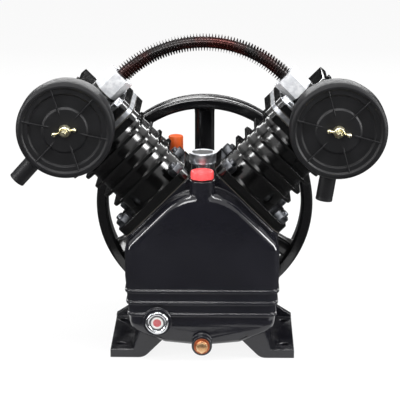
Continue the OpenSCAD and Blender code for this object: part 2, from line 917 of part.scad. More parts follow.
module head_casting(side) {
    bank(side, bank_y(side)) difference() {
        union() {
            translate([0, 0, head_foot]) round_plate(head_half, head_half_y, head_corner, head_flange_t);
            translate([0, 0, head_foot]) round_plate(dome_half, dome_half_y, dome_corner, head_h);
            translate([-dome_port, -bank_y(side), port_along]) rotate([0, 90, 0])
                cylinder(d = port_boss_d, h = dome_port);
        }
        translate([0, 0, head_foot - over]) head_chambers(head_h - pocket_top + over);
        for (x = [-head_bolt_x, head_bolt_x], y = [-head_bolt_y, head_bolt_y])
            translate([x, y, head_foot - over])
                cylinder(d = small_d + 2 * bolt_gap, h = head_flange_t + 2 * over);
        for (x = [-dome_half + dome_corner : head_rib_t + head_rib_gap : dome_half - dome_corner])
            translate([x, -dome_half_y - over, head_top - head_rib_drop])
                cube([head_rib_gap, 2 * (dome_half_y + over), head_rib_drop + over]);
        translate([-dome_port - over, -bank_y(side), port_along]) rotate([0, 90, 0]) {
            cylinder(d = nipple_d + 2 * fit, h = adapter_sink + over);
            cylinder(d = port_bore_d, h = dome_port - pocket_x);
        }
        translate([intake_off, -dome_half_y - over, intake_along]) rotate([-90, 0, 0]) {
            cylinder(d = nipple_d + 2 * fit, h = nipple_sink + over);
            cylinder(d = nipple_bore_d, h = dome_half_y);
        }
        if (side < 0)
            translate([-pipe_in, dome_half_y + over, elbow_along]) rotate([90, 0, 0]) {
                cylinder(d = pipe_d + 2 * fit, h = elbow_sink + over);
                cylinder(d = pipe_d - 2 * pipe_wall, h = dome_half_y);
            }
    }
}

module head_left() { color("#2b2b2e") head_casting(-1); }
module head_right() { color("#2b2b2e") head_casting(1); }

module head_bolts() {
    color("#c9ccd0") for (side = [-1, 1]) bank(side, bank_y(side))
        for (x = [-head_bolt_x, head_bolt_x], y = [-head_bolt_y, head_bolt_y]) translate([x, y, 0]) {
            translate([0, 0, cylinder_top - head_bolt_depth + bolt_gap])
                cylinder(d = small_d, h = head_deck - cylinder_top + head_bolt_depth);
            translate([0, 0, head_deck]) hexagon(small_hex, small_head);
        }
}

// Where the filter of one bank stands, with Z pointing forward
module at_filter(side) {
    facing_front(side * filter_x, filter_z) children();
}

module filter_nipples() {
    color("#b3a06a") for (side = [-1, 1]) at_filter(side) {
        face = dome_half_y - bank_y(side);
        difference() {
            union() {
                translate([0, 0, face - nipple_sink])
                    cylinder(d = nipple_d, h = base_back_face - face + nipple_sink + filter_wall + nipple_flange);
                translate([0, 0, face]) hexagon(nipple_hex, base_back_face - face);
            }
            translate([0, 0, face - nipple_sink - over])
                cylinder(d = nipple_bore_d, h = filter_front);
        }
    }
}

module filter_base(side, turn) {
    at_filter(side) difference() {
        union() {
            translate([0, 0, base_back_face]) cylinder(r = base_r, h = base_depth);
            translate([0, 0, snorkel_y]) rotate([0, 0, turn]) rotate([0, 90, 0])
                cylinder(d = snorkel_d, h = snorkel_reach);
        }
        translate([0, 0, base_back_face + filter_wall])
            cylinder(r = base_r - filter_wall, h = base_depth);
        translate([0, 0, snorkel_y]) rotate([0, 0, turn]) rotate([0, 90, 0])
            cylinder(d = snorkel_d - 2 * snorkel_wall, h = snorkel_reach + over);
        translate([0, 0, base_back_face - over])
            cylinder(d = nipple_d + 2 * fit, h = filter_wall + 2 * over);
    }
}

module filter_base_left() { color("#1f2022") filter_base(-1, snorkel_left); }
module filter_base_right() { color("#1f2022") filter_base(1, snorkel_right); }

module filter_elements() {
    color("#b9b4a0") for (side = [-1, 1]) at_filter(side)
        translate([0, 0, base_back_face + filter_wall])
            ring(2 * element_r, 2 * element_bore_r, element_l);
}

// The cover's section: radius and distance from its open edge
module cover_section(wall) {
    full = cover_depth - wall;
    outer = filter_r - wall;
    polygon([
        [0, -over], [outer, -over], [outer, full - rim_chamfer],
        [outer - rim_step, full - rim_step], [outer - rim_chamfer, full],
        [ring_r + ring_slope / 2, full], [ring_r - ring_slope / 2, full - recess],
        [disc_r + disc_slope, full - recess], [disc_r, full - rim_step], [0, full - rim_step]
    ]);
}

module filter_cover(side, turn) {
    at_filter(side) translate([0, 0, cover_back_face]) difference() {
        union() {
            intersection() {
                rotate_extrude() cover_section(0);
                cylinder(r = filter_r + over, h = cover_depth + over);
            }
            for (i = [0 : cover_rib_count - 1]) rotate([0, 0, turn + i * 360 / cover_rib_count])
                translate([disc_r, -cover_rib_t / 2, cover_depth - recess - filter_wall / 2])
                    cube([ring_r - disc_r, cover_rib_t, recess + filter_wall / 2 - disc_slope / 2]);
        }
        rotate_extrude() cover_section(filter_wall);
        translate([0, 0, -over]) cylinder(d = filter_stud_d + 2 * bolt_gap, h = cover_depth + 2 * over);
    }
}

module filter_cover_left() { color("#1f2022") filter_cover(-1, cover_rib_left); }
module filter_cover_right() { color("#1f2022") filter_cover(1, cover_rib_right); }

// The stud stands on a three-armed spider that sits on the filter base's floor
module filter_studs() {
    color("#b9bcc0") for (side = [-1, 1]) at_filter(side) {
        translate([0, 0, base_back_face + filter_wall + nipple_flange]) {
            cylinder(d = filter_stud_d, h = filter_front + filter_stud_out - base_back_face
                - filter_wall - nipple_flange);
            cylinder(d = nipple_d, h = spider_t);
        }
        for (i = [0 : 2]) rotate([0, 0, i * 120]) translate([nipple_d / 2 - over, 0, 0]) {
            translate([0, -spider_t, base_back_face + filter_wall + nipple_flange])
                cube([element_bore_r - nipple_d / 2 + over - bolt_gap, 2 * spider_t, spider_t]);
            translate([element_bore_r - nipple_d / 2 + over - spider_t - bolt_gap, -spider_t,
                       base_back_face + filter_wall])
                cube([spider_t, 2 * spider_t, nipple_flange + over]);
        }
    }
}

module wing_nut(side, turn) {
    at_filter(side) translate([0, 0, filter_front - rim_step]) rotate([0, 0, turn]) difference() {
        union() {
            cylinder(r = wing_hub_r, h = wing_hub_h);
            rotate([90, 0, 0]) translate([0, 0, -wing_t / 2]) linear_extrude(wing_t)
                for (flip = [0, 1]) mirror([flip, 0, 0]) {
                    translate([wing_span - wing_r, wing_rise]) circle(r = wing_r);
                    polygon([[0, 0], [wing_hub_r, 0], [wing_span - wing_r / 2, wing_rise - wing_r / 2],
                             [wing_span - wing_r, wing_rise + wing_r / 2], [0, wing_hub_h]]);
                }
        }
        translate([0, 0, -over]) cylinder(d = filter_stud_d + 2 * fit, h = filter_stud_out);
    }
}

module wing_nut_left() { color("#d8cfae") wing_nut(-1, wing_turn_left); }
module wing_nut_right() { color("#d8cfae") wing_nut(1, wing_turn_right); }

// Where a cooler port leaves a head, with Z pointing away from the head
module at_cooler_port(side) {
    bank(side, 0) translate([-dome_port, 0, port_along]) rotate([0, -90, 0]) children();
}

module cooler_adapters() {
    color("#cfd2d6") for (side = [-1, 1]) at_cooler_port(side) difference() {
        union() {
            translate([0, 0, -adapter_sink]) cylinder(d = nipple_d, h = adapter_sink + over);
            hexagon(cooler_hex, adapter_t);
        }
        translate([0, 0, -adapter_sink - over])
            cylinder(d = port_bore_d, h = adapter_sink + adapter_t + 2 * over);
    }
}

module cooler_union_nuts() {
    color("#d9dbde") for (side = [-1, 1]) at_cooler_port(side)
        translate([0, 0, adapter_t]) difference() {
            hexagon(cooler_hex, union_t);
            translate([0, 0, -over])
                cylinder(d = cooler_tube_d + 2 * tube_upset + 2 * fit, h = union_t + 2 * over);
        }
}

// The finned tube: one bent tube with a row of thin discs along its arc and upset ends in the nuts
module cooler_tube() {
    color("#4a3226") difference() {
        union() {
            facing_front(0, cooler_z) {
                rotate([0, 0, 90 - cooler_sweep / 2]) rotate_extrude(angle = cooler_sweep)
                    translate([cooler_r, 0]) circle(d = cooler_tube_d);
                for (i = [0 : cooler_fins - 1])
                    rotate([0, 0, 90 + (i - (cooler_fins - 1) / 2) * cooler_turn])
                        translate([cooler_r, 0, 0]) rotate([90, 0, 0])
                            cylinder(d = cooler_fin_d, h = cooler_fin_t, center = true);
            }
            for (side = [-1, 1]) at_cooler_port(side) translate([0, 0, adapter_t])
                cylinder(d = cooler_tube_d + 2 * tube_upset, h = union_t + tube_upset_l);
        }
        facing_front(0, cooler_z) rotate([0, 0, 90 - cooler_sweep / 2])
            rotate_extrude(angle = cooler_sweep)
                translate([cooler_r, 0]) circle(d = cooler_tube_d - 2 * cooler_wall);
        for (side = [-1, 1]) at_cooler_port(side) translate([0, 0, adapter_t - over])
            cylinder(d = cooler_tube_d - 2 * cooler_wall + tube_upset, h = union_t + over + tube_upset_l);
    }
}

// The corner where the discharge elbow turns down the left bank, with Z pointing up the bank
module at_elbow() {
    bank(-1, 0) translate([-pipe_in, pipe_y, elbow_along]) children();
}

module discharge_elbow() {
    back = pipe_y - dome_half_y - bank_y(-1);
    color("#cfd2d6") at_elbow() difference() {
        union() {
            sphere(d = elbow_d);
            rotate([90, 0, 0]) cylinder(d = elbow_d, h = back);
            rotate([90, 0, 0]) cylinder(d = pipe_d, h = back + elbow_sink);
            translate([0, 0, -elbow_leg]) cylinder(d = elbow_d, h = elbow_leg);
        }
        sphere(d = pipe_d - 2 * pipe_wall);
        rotate([90, 0, 0]) cylinder(d = pipe_d - 2 * pipe_wall, h = back + elbow_sink + over);
        translate([0, 0, -elbow_leg - over])
            cylinder(d = pipe_d - 2 * pipe_wall, h = elbow_leg + over);
    }
}

module discharge_nut() {
    color("#d9dbde") at_elbow() translate([0, 0, -elbow_leg - pipe_nut_l]) difference() {
        hexagon(pipe_nut_hex, pipe_nut_l);
        translate([0, 0, -over]) cylinder(d = pipe_d + 2 * fit, h = pipe_nut_l + 2 * over);
    }
}

// The pipe's run as a solid bar: down the bank, round its knee and straight down to the block
module pipe_run(d, extra) {
    at_elbow() translate([0, 0, pipe_corner - elbow_along]) {
        sphere(d = d + pipe_knee);
        cylinder(d = d, h = elbow_along - elbow_leg - pipe_corner + extra);
    }
    translate([pipe_x, pipe_y, block_top - pipe_socket - extra])
        cylinder(d = d, h = pipe_drop + pipe_socket + extra);
}

module discharge_pipe() {
    color("#1c1c1e") difference() {
        pipe_run(pipe_d, 0);
        pipe_run(pipe_d - 2 * pipe_wall, over);
    }
}

// The middle of the block's top face, under the cap
module at_outlet() {
    translate([pipe_x + block_gap, pipe_y, block_top]) children();
}

module outlet_block() {
    color("#55585c") at_outlet() difference() {
        union() {
            translate([0, 0, -block_h]) linear_extrude(block_h) {
                translate([-block_gap, -block_r]) square([block_gap, 2 * block_r]);
                for (x = [-block_gap, 0]) translate([x, 0]) circle(r = block_r);
            }
            cylinder(d = cap_d, h = outlet_collar_h);
            cylinder(d = outlet_thread_d, h = outlet_collar_h + outlet_thread_h);
        }
        translate([-block_gap, 0, -pipe_socket])
            cylinder(d = pipe_d + 2 * fit, h = pipe_socket + over);
        translate([0, 0, -pipe_socket - outlet_bore_d / 2])
            cylinder(d = outlet_bore_d, h = outlet_collar_h + outlet_thread_h + pipe_socket + block_h);
        translate([-block_gap, 0, -pipe_socket]) rotate([0, 90, 0])
            cylinder(d = outlet_bore_d, h = block_gap);
    }
}

module outlet_cap() {
    color("#eb6423") at_outlet() translate([0, 0, outlet_collar_h]) difference() {
        union() {
            cylinder(d = cap_d, h = cap_h);
            cylinder(d = cap_d + 2 * cap_bead, h = cap_bead_h);
        }
        translate([0, 0, -over])
            cylinder(d = outlet_thread_d + 2 * fit, h = outlet_thread_h + over + bolt_gap);
    }
}

module oil_filler_plug() {
    color("#e83c3c") translate([0, -filler_y, neck_top + seal_t]) difference() {
        union() {
            cylinder(d = plug_d, h = plug_h);
            translate([0, 0, -plug_stem]) cylinder(d = filler_bore_d, h = plug_stem + over);
        }
        for (i = [0 : plug_notch_count - 1]) rotate([0, 0, i * 360 / plug_notch_count])
            translate([plug_d / 2 + plug_notch / 2, 0, -over])
                cylinder(r = plug_notch, h = plug_h + 2 * over);
    }
}

module oil_filler_seal() {
    color("#1b1b1b") translate([0, -filler_y, neck_top])
        ring(plug_d - 2 * plug_notch, filler_bore_d + 2 * fit, seal_t);
}

module crank_web() {
    intersection() {
        union() {
            circle(r = web_hub_r);
            translate([0, crank_throw]) circle(r = crankpin_d / 2 + web_rim);
            translate([-crankpin_d / 2 - web_rim, 0]) square([crankpin_d + 2 * web_rim, crank_throw]);
            translate([-swing_r, -swing_r]) square([2 * swing_r, swing_r - weight_drop]);
        }
        circle(r = swing_r);
    }
}

module crankshaft() {
    web = crankpin_len / 2 + web_t;
    key_floor = crank_height + shaft_d / 2 - key_h / 2;
    color("#9a9da1") difference() {
        union() {
            shaft(-bearing_front + bolt_gap, -web, front_journal);
            shaft(-bearing_front + front_ring_w, -web + over, shoulder_d);
            for (y = [-web, crankpin_len / 2]) translate([0, 0, crank_height])
                along_y(y, y + web_t) crank_web();
            translate([0, 0, crank_throw]) shaft(-web + over, web - over, crankpin_d);
            shaft(web - over, rear_ring_front, rear_shoulder_d);
            shaft(rear_ring_front - over, seal_front, rear_journal);
            shaft(seal_front - over, shaft_back, shaft_d);
        }
        translate([-key_w / 2, wheel_hub_front, key_floor]) cube([key_w, key_l, key_h]);
        shaft(shaft_back - wheel_bolt_depth, shaft_back + over, wheel_bolt_d + 2 * fit);
    }
}

module flywheel_key() {
    color("#a8abb0")
        translate([-key_w / 2 + fit, wheel_hub_front + fit, crank_height + shaft_d / 2 - key_h / 2])
            cube([key_w - 2 * fit, key_l - 2 * fit, key_h - fit]);
}

module rim_section() {
    r = wheel_d / 2;
    polygon([
        [r - rim_t + rim_lip, 0], [r - rim_lip / 2, 0], [r, rim_lip / 2],
        [r, (rim_w - groove_w) / 2], [r - groove_depth, (rim_w - groove_floor) / 2],
        [r - groove_depth, (rim_w + groove_floor) / 2], [r, (rim_w + groove_w) / 2],
        [r, rim_w - rim_lip / 2], [r - rim_lip / 2, rim_w], [r - rim_t + rim_lip, rim_w],
        [r - rim_t, rim_w - rim_lip], [r - rim_t, rim_lip]
    ]);
}

// A belt pulley whose spokes are pitched like fan blades
module flywheel() {
    inner = wheel_d / 2 - rim_t;
    color("#1d1d1f") translate([0, 0, crank_height]) rotate([-90, 0, 0]) difference() {
        union() {
            translate([0, 0, rim_front]) rotate_extrude() rim_section();
            translate([0, 0, wheel_hub_front]) cylinder(r = wheel_hub_r, h = wheel_hub_w);
            for (i = [0 : spoke_count - 1]) rotate([0, 0, i * 360 / spoke_count - 90])
                translate([spoke_root_r, 0, rim_front + rim_w / 2]) rotate([0, 90, 0])
                    rotate([0, 0, spoke_pitch]) linear_extrude(inner + rim_lip - spoke_root_r) {
                        square([spoke_t, spoke_w - spoke_t], center = true);
                        for (y = [-1, 1]) translate([0, y * (spoke_w - spoke_t) / 2])
                            circle(d = spoke_t);
                    }
        }
        translate([0, 0, wheel_hub_front - over])
            cylinder(d = shaft_d + 2 * fit, h = wheel_hub_w + 2 * over);
        translate([-key_w / 2, -shaft_d / 2 - key_h / 2, wheel_hub_front - over])
            cube([key_w, key_h, wheel_hub_w + 2 * over]);
    }
}

module flywheel_washer() {
    color("#c9ccd0") difference() {
        shaft(wheel_hub_back, wheel_hub_back + washer_t, washer_d);
        shaft(wheel_hub_back - over, wheel_hub_back + washer_t + over, wheel_bolt_d + 2 * bolt_gap);
    }
}

module flywheel_bolt() {
    seat = wheel_hub_back + washer_t;
    color("#c9ccd0") {
        shaft(shaft_back - wheel_bolt_depth + bolt_gap, seat + over, wheel_bolt_d);
        translate([0, seat, crank_height]) rotate([-90, 0, 0])
            hexagon(wheel_bolt_hex, wheel_bolt_head);
    }
}

module piston(side) {
    foot = pin_rest - skirt_h;
    top = pin_rest + crown_h;
    inner = bore / 2 - piston_gap - ring_depth - piston_wall / 2;
    bank(side, bank_y(side)) difference() {
        union() {
            difference() {
                translate([0, 0, foot]) cylinder(r = bore / 2 - piston_gap, h = top - foot);
                translate([0, 0, foot - over])
                    cylinder(r = inner, h = top - foot - crown_t + over);
            }
            intersection() {
                translate([0, 0, foot]) cylinder(r = bore / 2 - piston_gap - ring_depth - fit, h = top - foot);
                translate([0, bore / 2, pin_rest]) rotate([90, 0, 0]) difference() {
                    cylinder(d = pin_boss_d, h = bore);
                    translate([0, 0, (bore - pin_boss_gap) / 2])
                        cylinder(d = pin_boss_d + over, h = pin_boss_gap);
                }
            }
        }
        translate([0, bore / 2 + over, pin_rest]) rotate([90, 0, 0])
            cylinder(d = wrist_pin_d + 2 * fit, h = bore + 2 * over);
        for (i = [0 : ring_count - 1])
            translate([0, 0, top - first_ring - i * ring_pitch - ring_h - fit]) ring(
                bore + over, bore - 2 * (piston_gap + ring_depth), ring_h + 2 * fit);
    }
}

module piston_left() { color("#b7b9bc") piston(-1); }
module piston_right() { color("#b7b9bc") piston(1); }

module piston_rings(side) {
    top = pin_rest + crown_h;
    bank(side, bank_y(side)) for (i = [0 : ring_count - 1])
        translate([0, 0, top - first_ring - i * ring_pitch - ring_h]) rotate([0, 0, i * 120])
            difference() {
                ring(bore - 2 * fit, bore - 2 * (piston_gap + ring_depth) + 4 * fit, ring_h);
                translate([0, -ring_slit / 2, -over]) cube([bore, ring_slit, ring_h + 2 * over]);
            }
}

module piston_rings_left() { color("#6d7074") piston_rings(-1); }
module piston_rings_right() { color("#6d7074") piston_rings(1); }

module wrist_pin(side) {
    bank(side, bank_y(side)) translate([0, wrist_pin_l / 2, pin_rest]) rotate([90, 0, 0])
        ring(wrist_pin_d, wrist_pin_bore, wrist_pin_l);
}

module wrist_pin_left() { color("#a8abb0") wrist_pin(-1); }
module wrist_pin_right() { color("#a8abb0") wrist_pin(1); }

crankcase();
rear_bearing_cover();
rear_cover_gasket();
rear_cover_bolts();
front_bearing();
rear_bearing();
shaft_seal();
breather();
sight_glass_bezel();
sight_glass_lens();
sight_glass_reflector();
drain_plug();
drain_washer();
cylinder_left();
cylinder_right();
base_gaskets();
cylinder_studs();
cylinder_nuts();
suction_gaskets();
valve_plates();
suction_reeds();
discharge_reeds();
head_gaskets();
head_left();
head_right();
head_bolts();
filter_nipples();
filter_base_left();
filter_base_right();
filter_elements();
filter_cover_left();
filter_cover_right();
filter_studs();
wing_nut_left();
wing_nut_right();
cooler_tube();
cooler_adapters();
cooler_union_nuts();
discharge_elbow();
discharge_nut();
discharge_pipe();
outlet_block();
outlet_cap();
oil_filler_plug();
oil_filler_seal();
crankshaft();
flywheel_key();
flywheel();
flywheel_washer();
flywheel_bolt();
piston_left();
piston_right();
piston_rings_left();
piston_rings_right();
wrist_pin_left();
wrist_pin_right();
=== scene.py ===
# %% [markdown]
# This lesson dresses a two-cylinder air compressor pump head for a studio picture. The solids come
# from a packed CAD model, which is the frame: it holds the sizes and the moving bodies. Blender
# adds what the solids lack, such as rounded edges, cast skin, crimped fins and plated threads.

# %% Load the solids
import json
from math import cos, pi, radians, sin, sqrt

import bmesh
import bpy
from mathutils import Matrix, Vector


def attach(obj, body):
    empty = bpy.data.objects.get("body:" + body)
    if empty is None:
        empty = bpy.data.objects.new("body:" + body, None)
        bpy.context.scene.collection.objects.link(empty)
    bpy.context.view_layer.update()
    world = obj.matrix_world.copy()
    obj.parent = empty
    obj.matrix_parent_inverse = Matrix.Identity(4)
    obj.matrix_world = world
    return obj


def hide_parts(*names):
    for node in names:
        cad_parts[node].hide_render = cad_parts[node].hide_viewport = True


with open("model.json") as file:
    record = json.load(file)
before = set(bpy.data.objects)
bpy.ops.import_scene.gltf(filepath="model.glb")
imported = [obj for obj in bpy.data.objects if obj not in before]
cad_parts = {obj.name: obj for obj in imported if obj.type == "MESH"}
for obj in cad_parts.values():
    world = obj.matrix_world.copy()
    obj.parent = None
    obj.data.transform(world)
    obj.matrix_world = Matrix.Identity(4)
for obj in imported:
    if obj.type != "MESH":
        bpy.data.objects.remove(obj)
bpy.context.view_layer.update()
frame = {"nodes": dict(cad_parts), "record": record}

block, crank = "block", "crank"
mm = 0.001

# %% [markdown]
# The picture is taken from the front, a little from the right and from above, with a long lens, so
# that the round filters stay round. The camera looks at a point near the middle of the crankcase.

# %% Place the camera
target = Vector((-0.0034, 0, 0.1618))
azimuth, elevation, away = radians(1), radians(15), 2.0
back = Vector((sin(azimuth) * cos(elevation), -cos(azimuth) * cos(elevation), sin(elevation)))
camera = bpy.data.objects.new("camera", bpy.data.cameras.new("camera"))
camera.data.sensor_width = 36
camera.data.lens = 163.9
camera.location = target + away * back
camera.rotation_euler = (-back).to_track_quat("-Z", "Y").to_euler()
bpy.context.scene.collection.objects.link(camera)
bpy.context.scene.camera = camera
bpy.context.scene.view_settings.view_transform = "Standard"
print("camera at", [round(v, 3) for v in camera.location])

# %% [markdown]
# Shader maths is easier to read as sums than as boxes and wires. A Value wraps one output socket,
# and its operators add Math nodes, so 1 - mask or grain * 0.2 can be written as on paper.

# %% Shader values that can be added and multiplied
class Value:
    """An output socket that can be used in sums."""

    def __init__(self, finish, socket):
        self.finish, self.socket = finish, socket

    def maths(self, operation, *parts):
        return self.finish.node("ShaderNodeMath", {"operation": operation}, dict(enumerate(parts)))

    def __add__(self, other):
        return self.maths("ADD", self, other)

    def __rsub__(self, other):
        return self.maths("SUBTRACT", other, self)

    def __mul__(self, other):
        return self.maths("MULTIPLY", self, other)

    __radd__ = __add__


# %% [markdown]
# Colours are given as they look on a screen, from 0 to 255, and are turned into the linear light
# that shaders use.

# %% Screen colours as linear light
def ink(red, green, blue):
    linear = [((v / 255 + 0.055) / 1.055) ** 2.4 if v > 10 else v / 255 / 12.92
              for v in (red, green, blue)]
    return (*linear, 1)


print("middle grey is", [round(v, 3) for v in ink(128, 128, 128)])

# %% [markdown]
# A Finish is one material. Its node method adds any shader node: the settings come first, because
# they decide which sockets there are, and then the values or links of the sockets. The other
# methods add the few groups of nodes that every recipe below is made from.

# %% A recipe class for materials
class Finish:
    """One material, built node by node."""

    def __init__(self, name, tree=None):
        if tree is None:
            self.material = bpy.data.materials.new(name)
            self.material.use_nodes = True
            tree = self.material.node_tree
        self.tree = tree
        tree.nodes.clear()

    def node(self, kind, settings=None, sockets=None, output=0):
        node = self.tree.nodes.new(kind)
        for name, value in (settings or {}).items():
            setattr(node, name, value)
        for name, value in (sockets or {}).items():
            self.plug(node.inputs[name], value)
        return Value(self, node.outputs[output])

    def plug(self, socket, value):
        if isinstance(value, Value):
            self.tree.links.new(value.socket, socket)
        else:
            socket.default_value = value

    def place(self, stretch=(1, 1, 1), centre=(0, 0, 0)):
        spot = self.node("ShaderNodeTexCoord", output="Object")
        return self.node("ShaderNodeMapping", {"vector_type": "TEXTURE"},
                         {"Vector": spot, "Scale": stretch, "Location": centre})

    def noise(self, scale, detail=2.0, rough=0.5, swirl=0.0):
        return self.node("ShaderNodeTexNoise", None,
                         {"Vector": self.place(), "Scale": scale, "Detail": detail,
                          "Roughness": rough, "Distortion": swirl})

    def ramp(self, value, low, high, start=0.0, end=1.0):
        return self.node("ShaderNodeMapRange", {"interpolation_type": "SMOOTHSTEP"},
                         {"Value": value, "From Min": low, "From Max": high,
                          "To Min": start, "To Max": end})

    def mix(self, mask, one, two):
        """Mixes two colours: their sockets are 6 and 7, and the result is output 2."""
        return self.node("ShaderNodeMix", {"data_type": "RGBA"}, {0: mask, 6: one, 7: two}, 2)

    def rounded(self, radius):
        return self.node("ShaderNodeBevel", {"samples": 6}, {"Radius": radius})

    def edges(self, soft):
        """A mask that is 1 where the rounded normal leaves the flat one, so at the edges."""
        flat = self.node("ShaderNodeNewGeometry", output="Normal")
        same = self.node("ShaderNodeVectorMath", {"operation": "DOT_PRODUCT"},
                         {0: soft, 1: flat}, "Value")
        return self.ramp(1 - same, 0.01, 0.2)

    def relief(self, height, depth, normal=None):
        sockets = {"Height": height, "Distance": depth, "Strength": 1.0}
        if normal is not None:
            sockets["Normal"] = normal
        return self.node("ShaderNodeBump", None, sockets)

    def close(self, colour, rough, metal=0.0, normal=None, **more):
        sockets = {"Base Color": colour, "Roughness": rough, "Metallic": metal}
        if normal is not None:
            sockets["Normal"] = normal
        for name, value in more.items():
            sockets[name.replace("_", " ")] = value
        shader = self.node("ShaderNodeBsdfPrincipled", None, sockets)
        out = self.tree.nodes.new("ShaderNodeOutputMaterial")
        self.plug(out.inputs["Surface"], shader)
        return self.material


finishes = {}
print("recipe methods:", ", ".join(name for name in vars(Finish) if not name.startswith("_")))

# %% [markdown]
# The castings are dipped or sprayed in black enamel. Cast iron never gets a mirror under it: the
# skin keeps a fine sand grain, the paint has orange peel, and it pulls thin over the edges, where
# it is a touch paler. A Bevel node rounds the edges of the shading, which gives each casting its
# bright line. Each row of the table holds the thick and the thin paint, the bare edge, the gloss,
# the edge radius in metres, the share of sand in the relief, and the level of the reflection.

# %% Black enamel on cast iron
def enamel(name, dark, pale, edge, gloss, radius, grain, level):
    worn_share, peel_share, relief_depth = 0.35, 0.7, 0.00007
    f = Finish(name)
    soft = f.rounded(radius)
    cloud = f.noise(24, 4)
    peel = f.noise(420, 1.5)
    sand = f.noise(1500, 3, 0.65)
    colour = f.mix(cloud, ink(*dark), ink(*pale))
    worn = f.edges(soft) * f.ramp(f.noise(130, 3), 0.35, 0.7)
    colour = f.mix(worn * worn_share, colour, ink(*edge))
    rough = gloss + f.ramp(f.noise(60, 3), 0.3, 0.75, 0.0, 0.1) + sand * 0.05
    height = peel * peel_share + sand * grain
    return f.close(colour, rough, normal=f.relief(height, relief_depth, soft),
                   Specular_IOR_Level=level)


for name, dark, pale, edge, gloss, radius, grain, level in (
        ("case_paint", (13, 13, 17), (22, 22, 27), (60, 60, 66), 0.05, 0.0015, 0.15, 0.6),
        ("cylinder_paint", (4, 4, 4), (10, 10, 10), (70, 68, 64), 0.06, 0.0007, 0.5, 0.7),
        ("head_paint", (4, 4, 5), (10, 10, 10), (70, 68, 66), 0.06, 0.0009, 0.5, 0.7),
        ("wheel_paint", (5, 5, 6), (12, 12, 13), (48, 48, 50), 0.07, 0.0010, 0.25, 0.6),
        ("pipe_paint", (6, 6, 7), (14, 14, 15), (80, 78, 74), 0.14, 0.0005, 0.3, 0.5)):
    finishes[name] = enamel(name, dark, pale, edge, gloss, radius, grain, level)
print("enamels:", ", ".join(finishes))

# %% [markdown]
# The filter housings are injection moulded in black plastic. A spark-eroded mould leaves a fine
# matte grain on them, and slow flow marks that only the gloss shows. The orange cap and the red
# plug are moulded too. The rows hold the gloss, the edge radius and the relief's depth in metres,
# and the level of the reflection.

# %% Moulded black plastic, and the two coloured caps
def moulded(name, dark, pale, gloss, radius, grain, level):
    scuff_share, scuff_gain = 0.35, 60
    f = Finish(name)
    soft = f.rounded(radius)
    flow = f.noise(30, 3, 0.5, swirl=1.5)
    spark = f.noise(1900, 2, 0.6)
    colour = f.mix(flow, ink(*dark), ink(*pale))
    scuff = f.edges(soft) * f.ramp(f.noise(260, 2), 0.5, 0.75)
    colour = f.mix(scuff * scuff_share, colour, ink(*[min(255, v + scuff_gain) for v in pale]))
    rough = gloss + flow * 0.12 + spark * 0.1
    return f.close(colour, rough, normal=f.relief(spark, grain, soft), Specular_IOR_Level=level)


for name, dark, pale, gloss, radius, grain, level in (
        ("filter_plastic", (13, 13, 14), (22, 22, 24), 0.32, 0.0005, 0.00004, 0.22),
        ("orange_plastic", (236, 88, 28), (250, 124, 52), 0.3, 0.0006, 0.00002, 0.5),
        ("red_plastic", (218, 44, 50), (240, 84, 84), 0.3, 0.0008, 0.00002, 0.5)):
    finishes[name] = moulded(name, dark, pale, gloss, radius, grain, level)
print("plastics added, now", len(finishes), "finishes")

# %% [markdown]
# Plated steel is bright, but a barrel-plated fitting is never even: the zinc has a faint blue or
# straw cast, fine tumbling scratches and dull patches. The colour, the roughness and the relief all
# read the same kinds of noise at different scales. The last value of a row is the share of metal:
# the pale fittings are pale zinc with little metal, so that their near-white colour is also a
# painted highlight, a flat white in place of the glare of their plating.

# %% Plated and bare metals
def metal(name, dark, pale, gloss, spread, share):
    edge_radius, scratch_share, patch_share, relief_depth = 0.0003, 0.6, 0.4, 0.00003
    f = Finish(name)
    soft = f.rounded(edge_radius)
    patch = f.noise(170, 3, 0.6)
    lines = f.noise(1400, 2, 0.7)
    colour = f.mix(f.ramp(patch, 0.3, 0.7), ink(*dark), ink(*pale))
    rough = gloss + patch * spread + lines * spread * 0.5
    normal = f.relief(lines * scratch_share + patch * patch_share, relief_depth, soft)
    return f.close(colour, rough, share, normal)


for name, dark, pale, gloss, spread, share in (
        ("zinc_steel", (176, 178, 182), (222, 224, 228), 0.18, 0.2, 1.0),
        ("bearing_steel", (164, 166, 170), (206, 208, 212), 0.12, 0.12, 1.0),
        ("machined_steel", (138, 140, 144), (182, 184, 188), 0.24, 0.2, 1.0),
        ("spring_steel", (124, 128, 136), (160, 164, 172), 0.22, 0.14, 1.0),
        ("chrome", (206, 208, 212), (236, 238, 240), 0.05, 0.1, 1.0),
        ("brass", (206, 158, 112), (242, 204, 160), 0.14, 0.2, 1.0),
        ("copper_washer", (150, 82, 56), (196, 116, 80), 0.26, 0.2, 1.0),
        ("yellow_zinc", (214, 204, 160), (242, 236, 206), 0.16, 0.16, 1.0),
        ("piston_alloy", (170, 172, 174), (204, 206, 208), 0.28, 0.16, 1.0),
        ("ring_iron", (96, 98, 102), (140, 142, 146), 0.3, 0.2, 1.0),
        ("dark_zinc", (70, 72, 76), (120, 122, 126), 0.2, 0.2, 1.0),
        ("dark_iron", (34, 35, 38), (60, 62, 66), 0.26, 0.2, 1.0),
        # zinc_fitting: pale zinc whose low metal share makes its near-white colour a painted
        # highlight
        ("zinc_fitting", (206, 208, 212), (240, 241, 243), 0.26, 0.16, 0.4)):
    finishes[name] = metal(name, dark, pale, gloss, spread, share)
print("metals added, now", len(finishes), "finishes")

# %% [markdown]
# The cooler tube is copper with a wound copper fin. Heat and flux have turned it nearly black, with
# warm brown left where the fins are rubbed, so it is a half-metal: dark scale over copper.

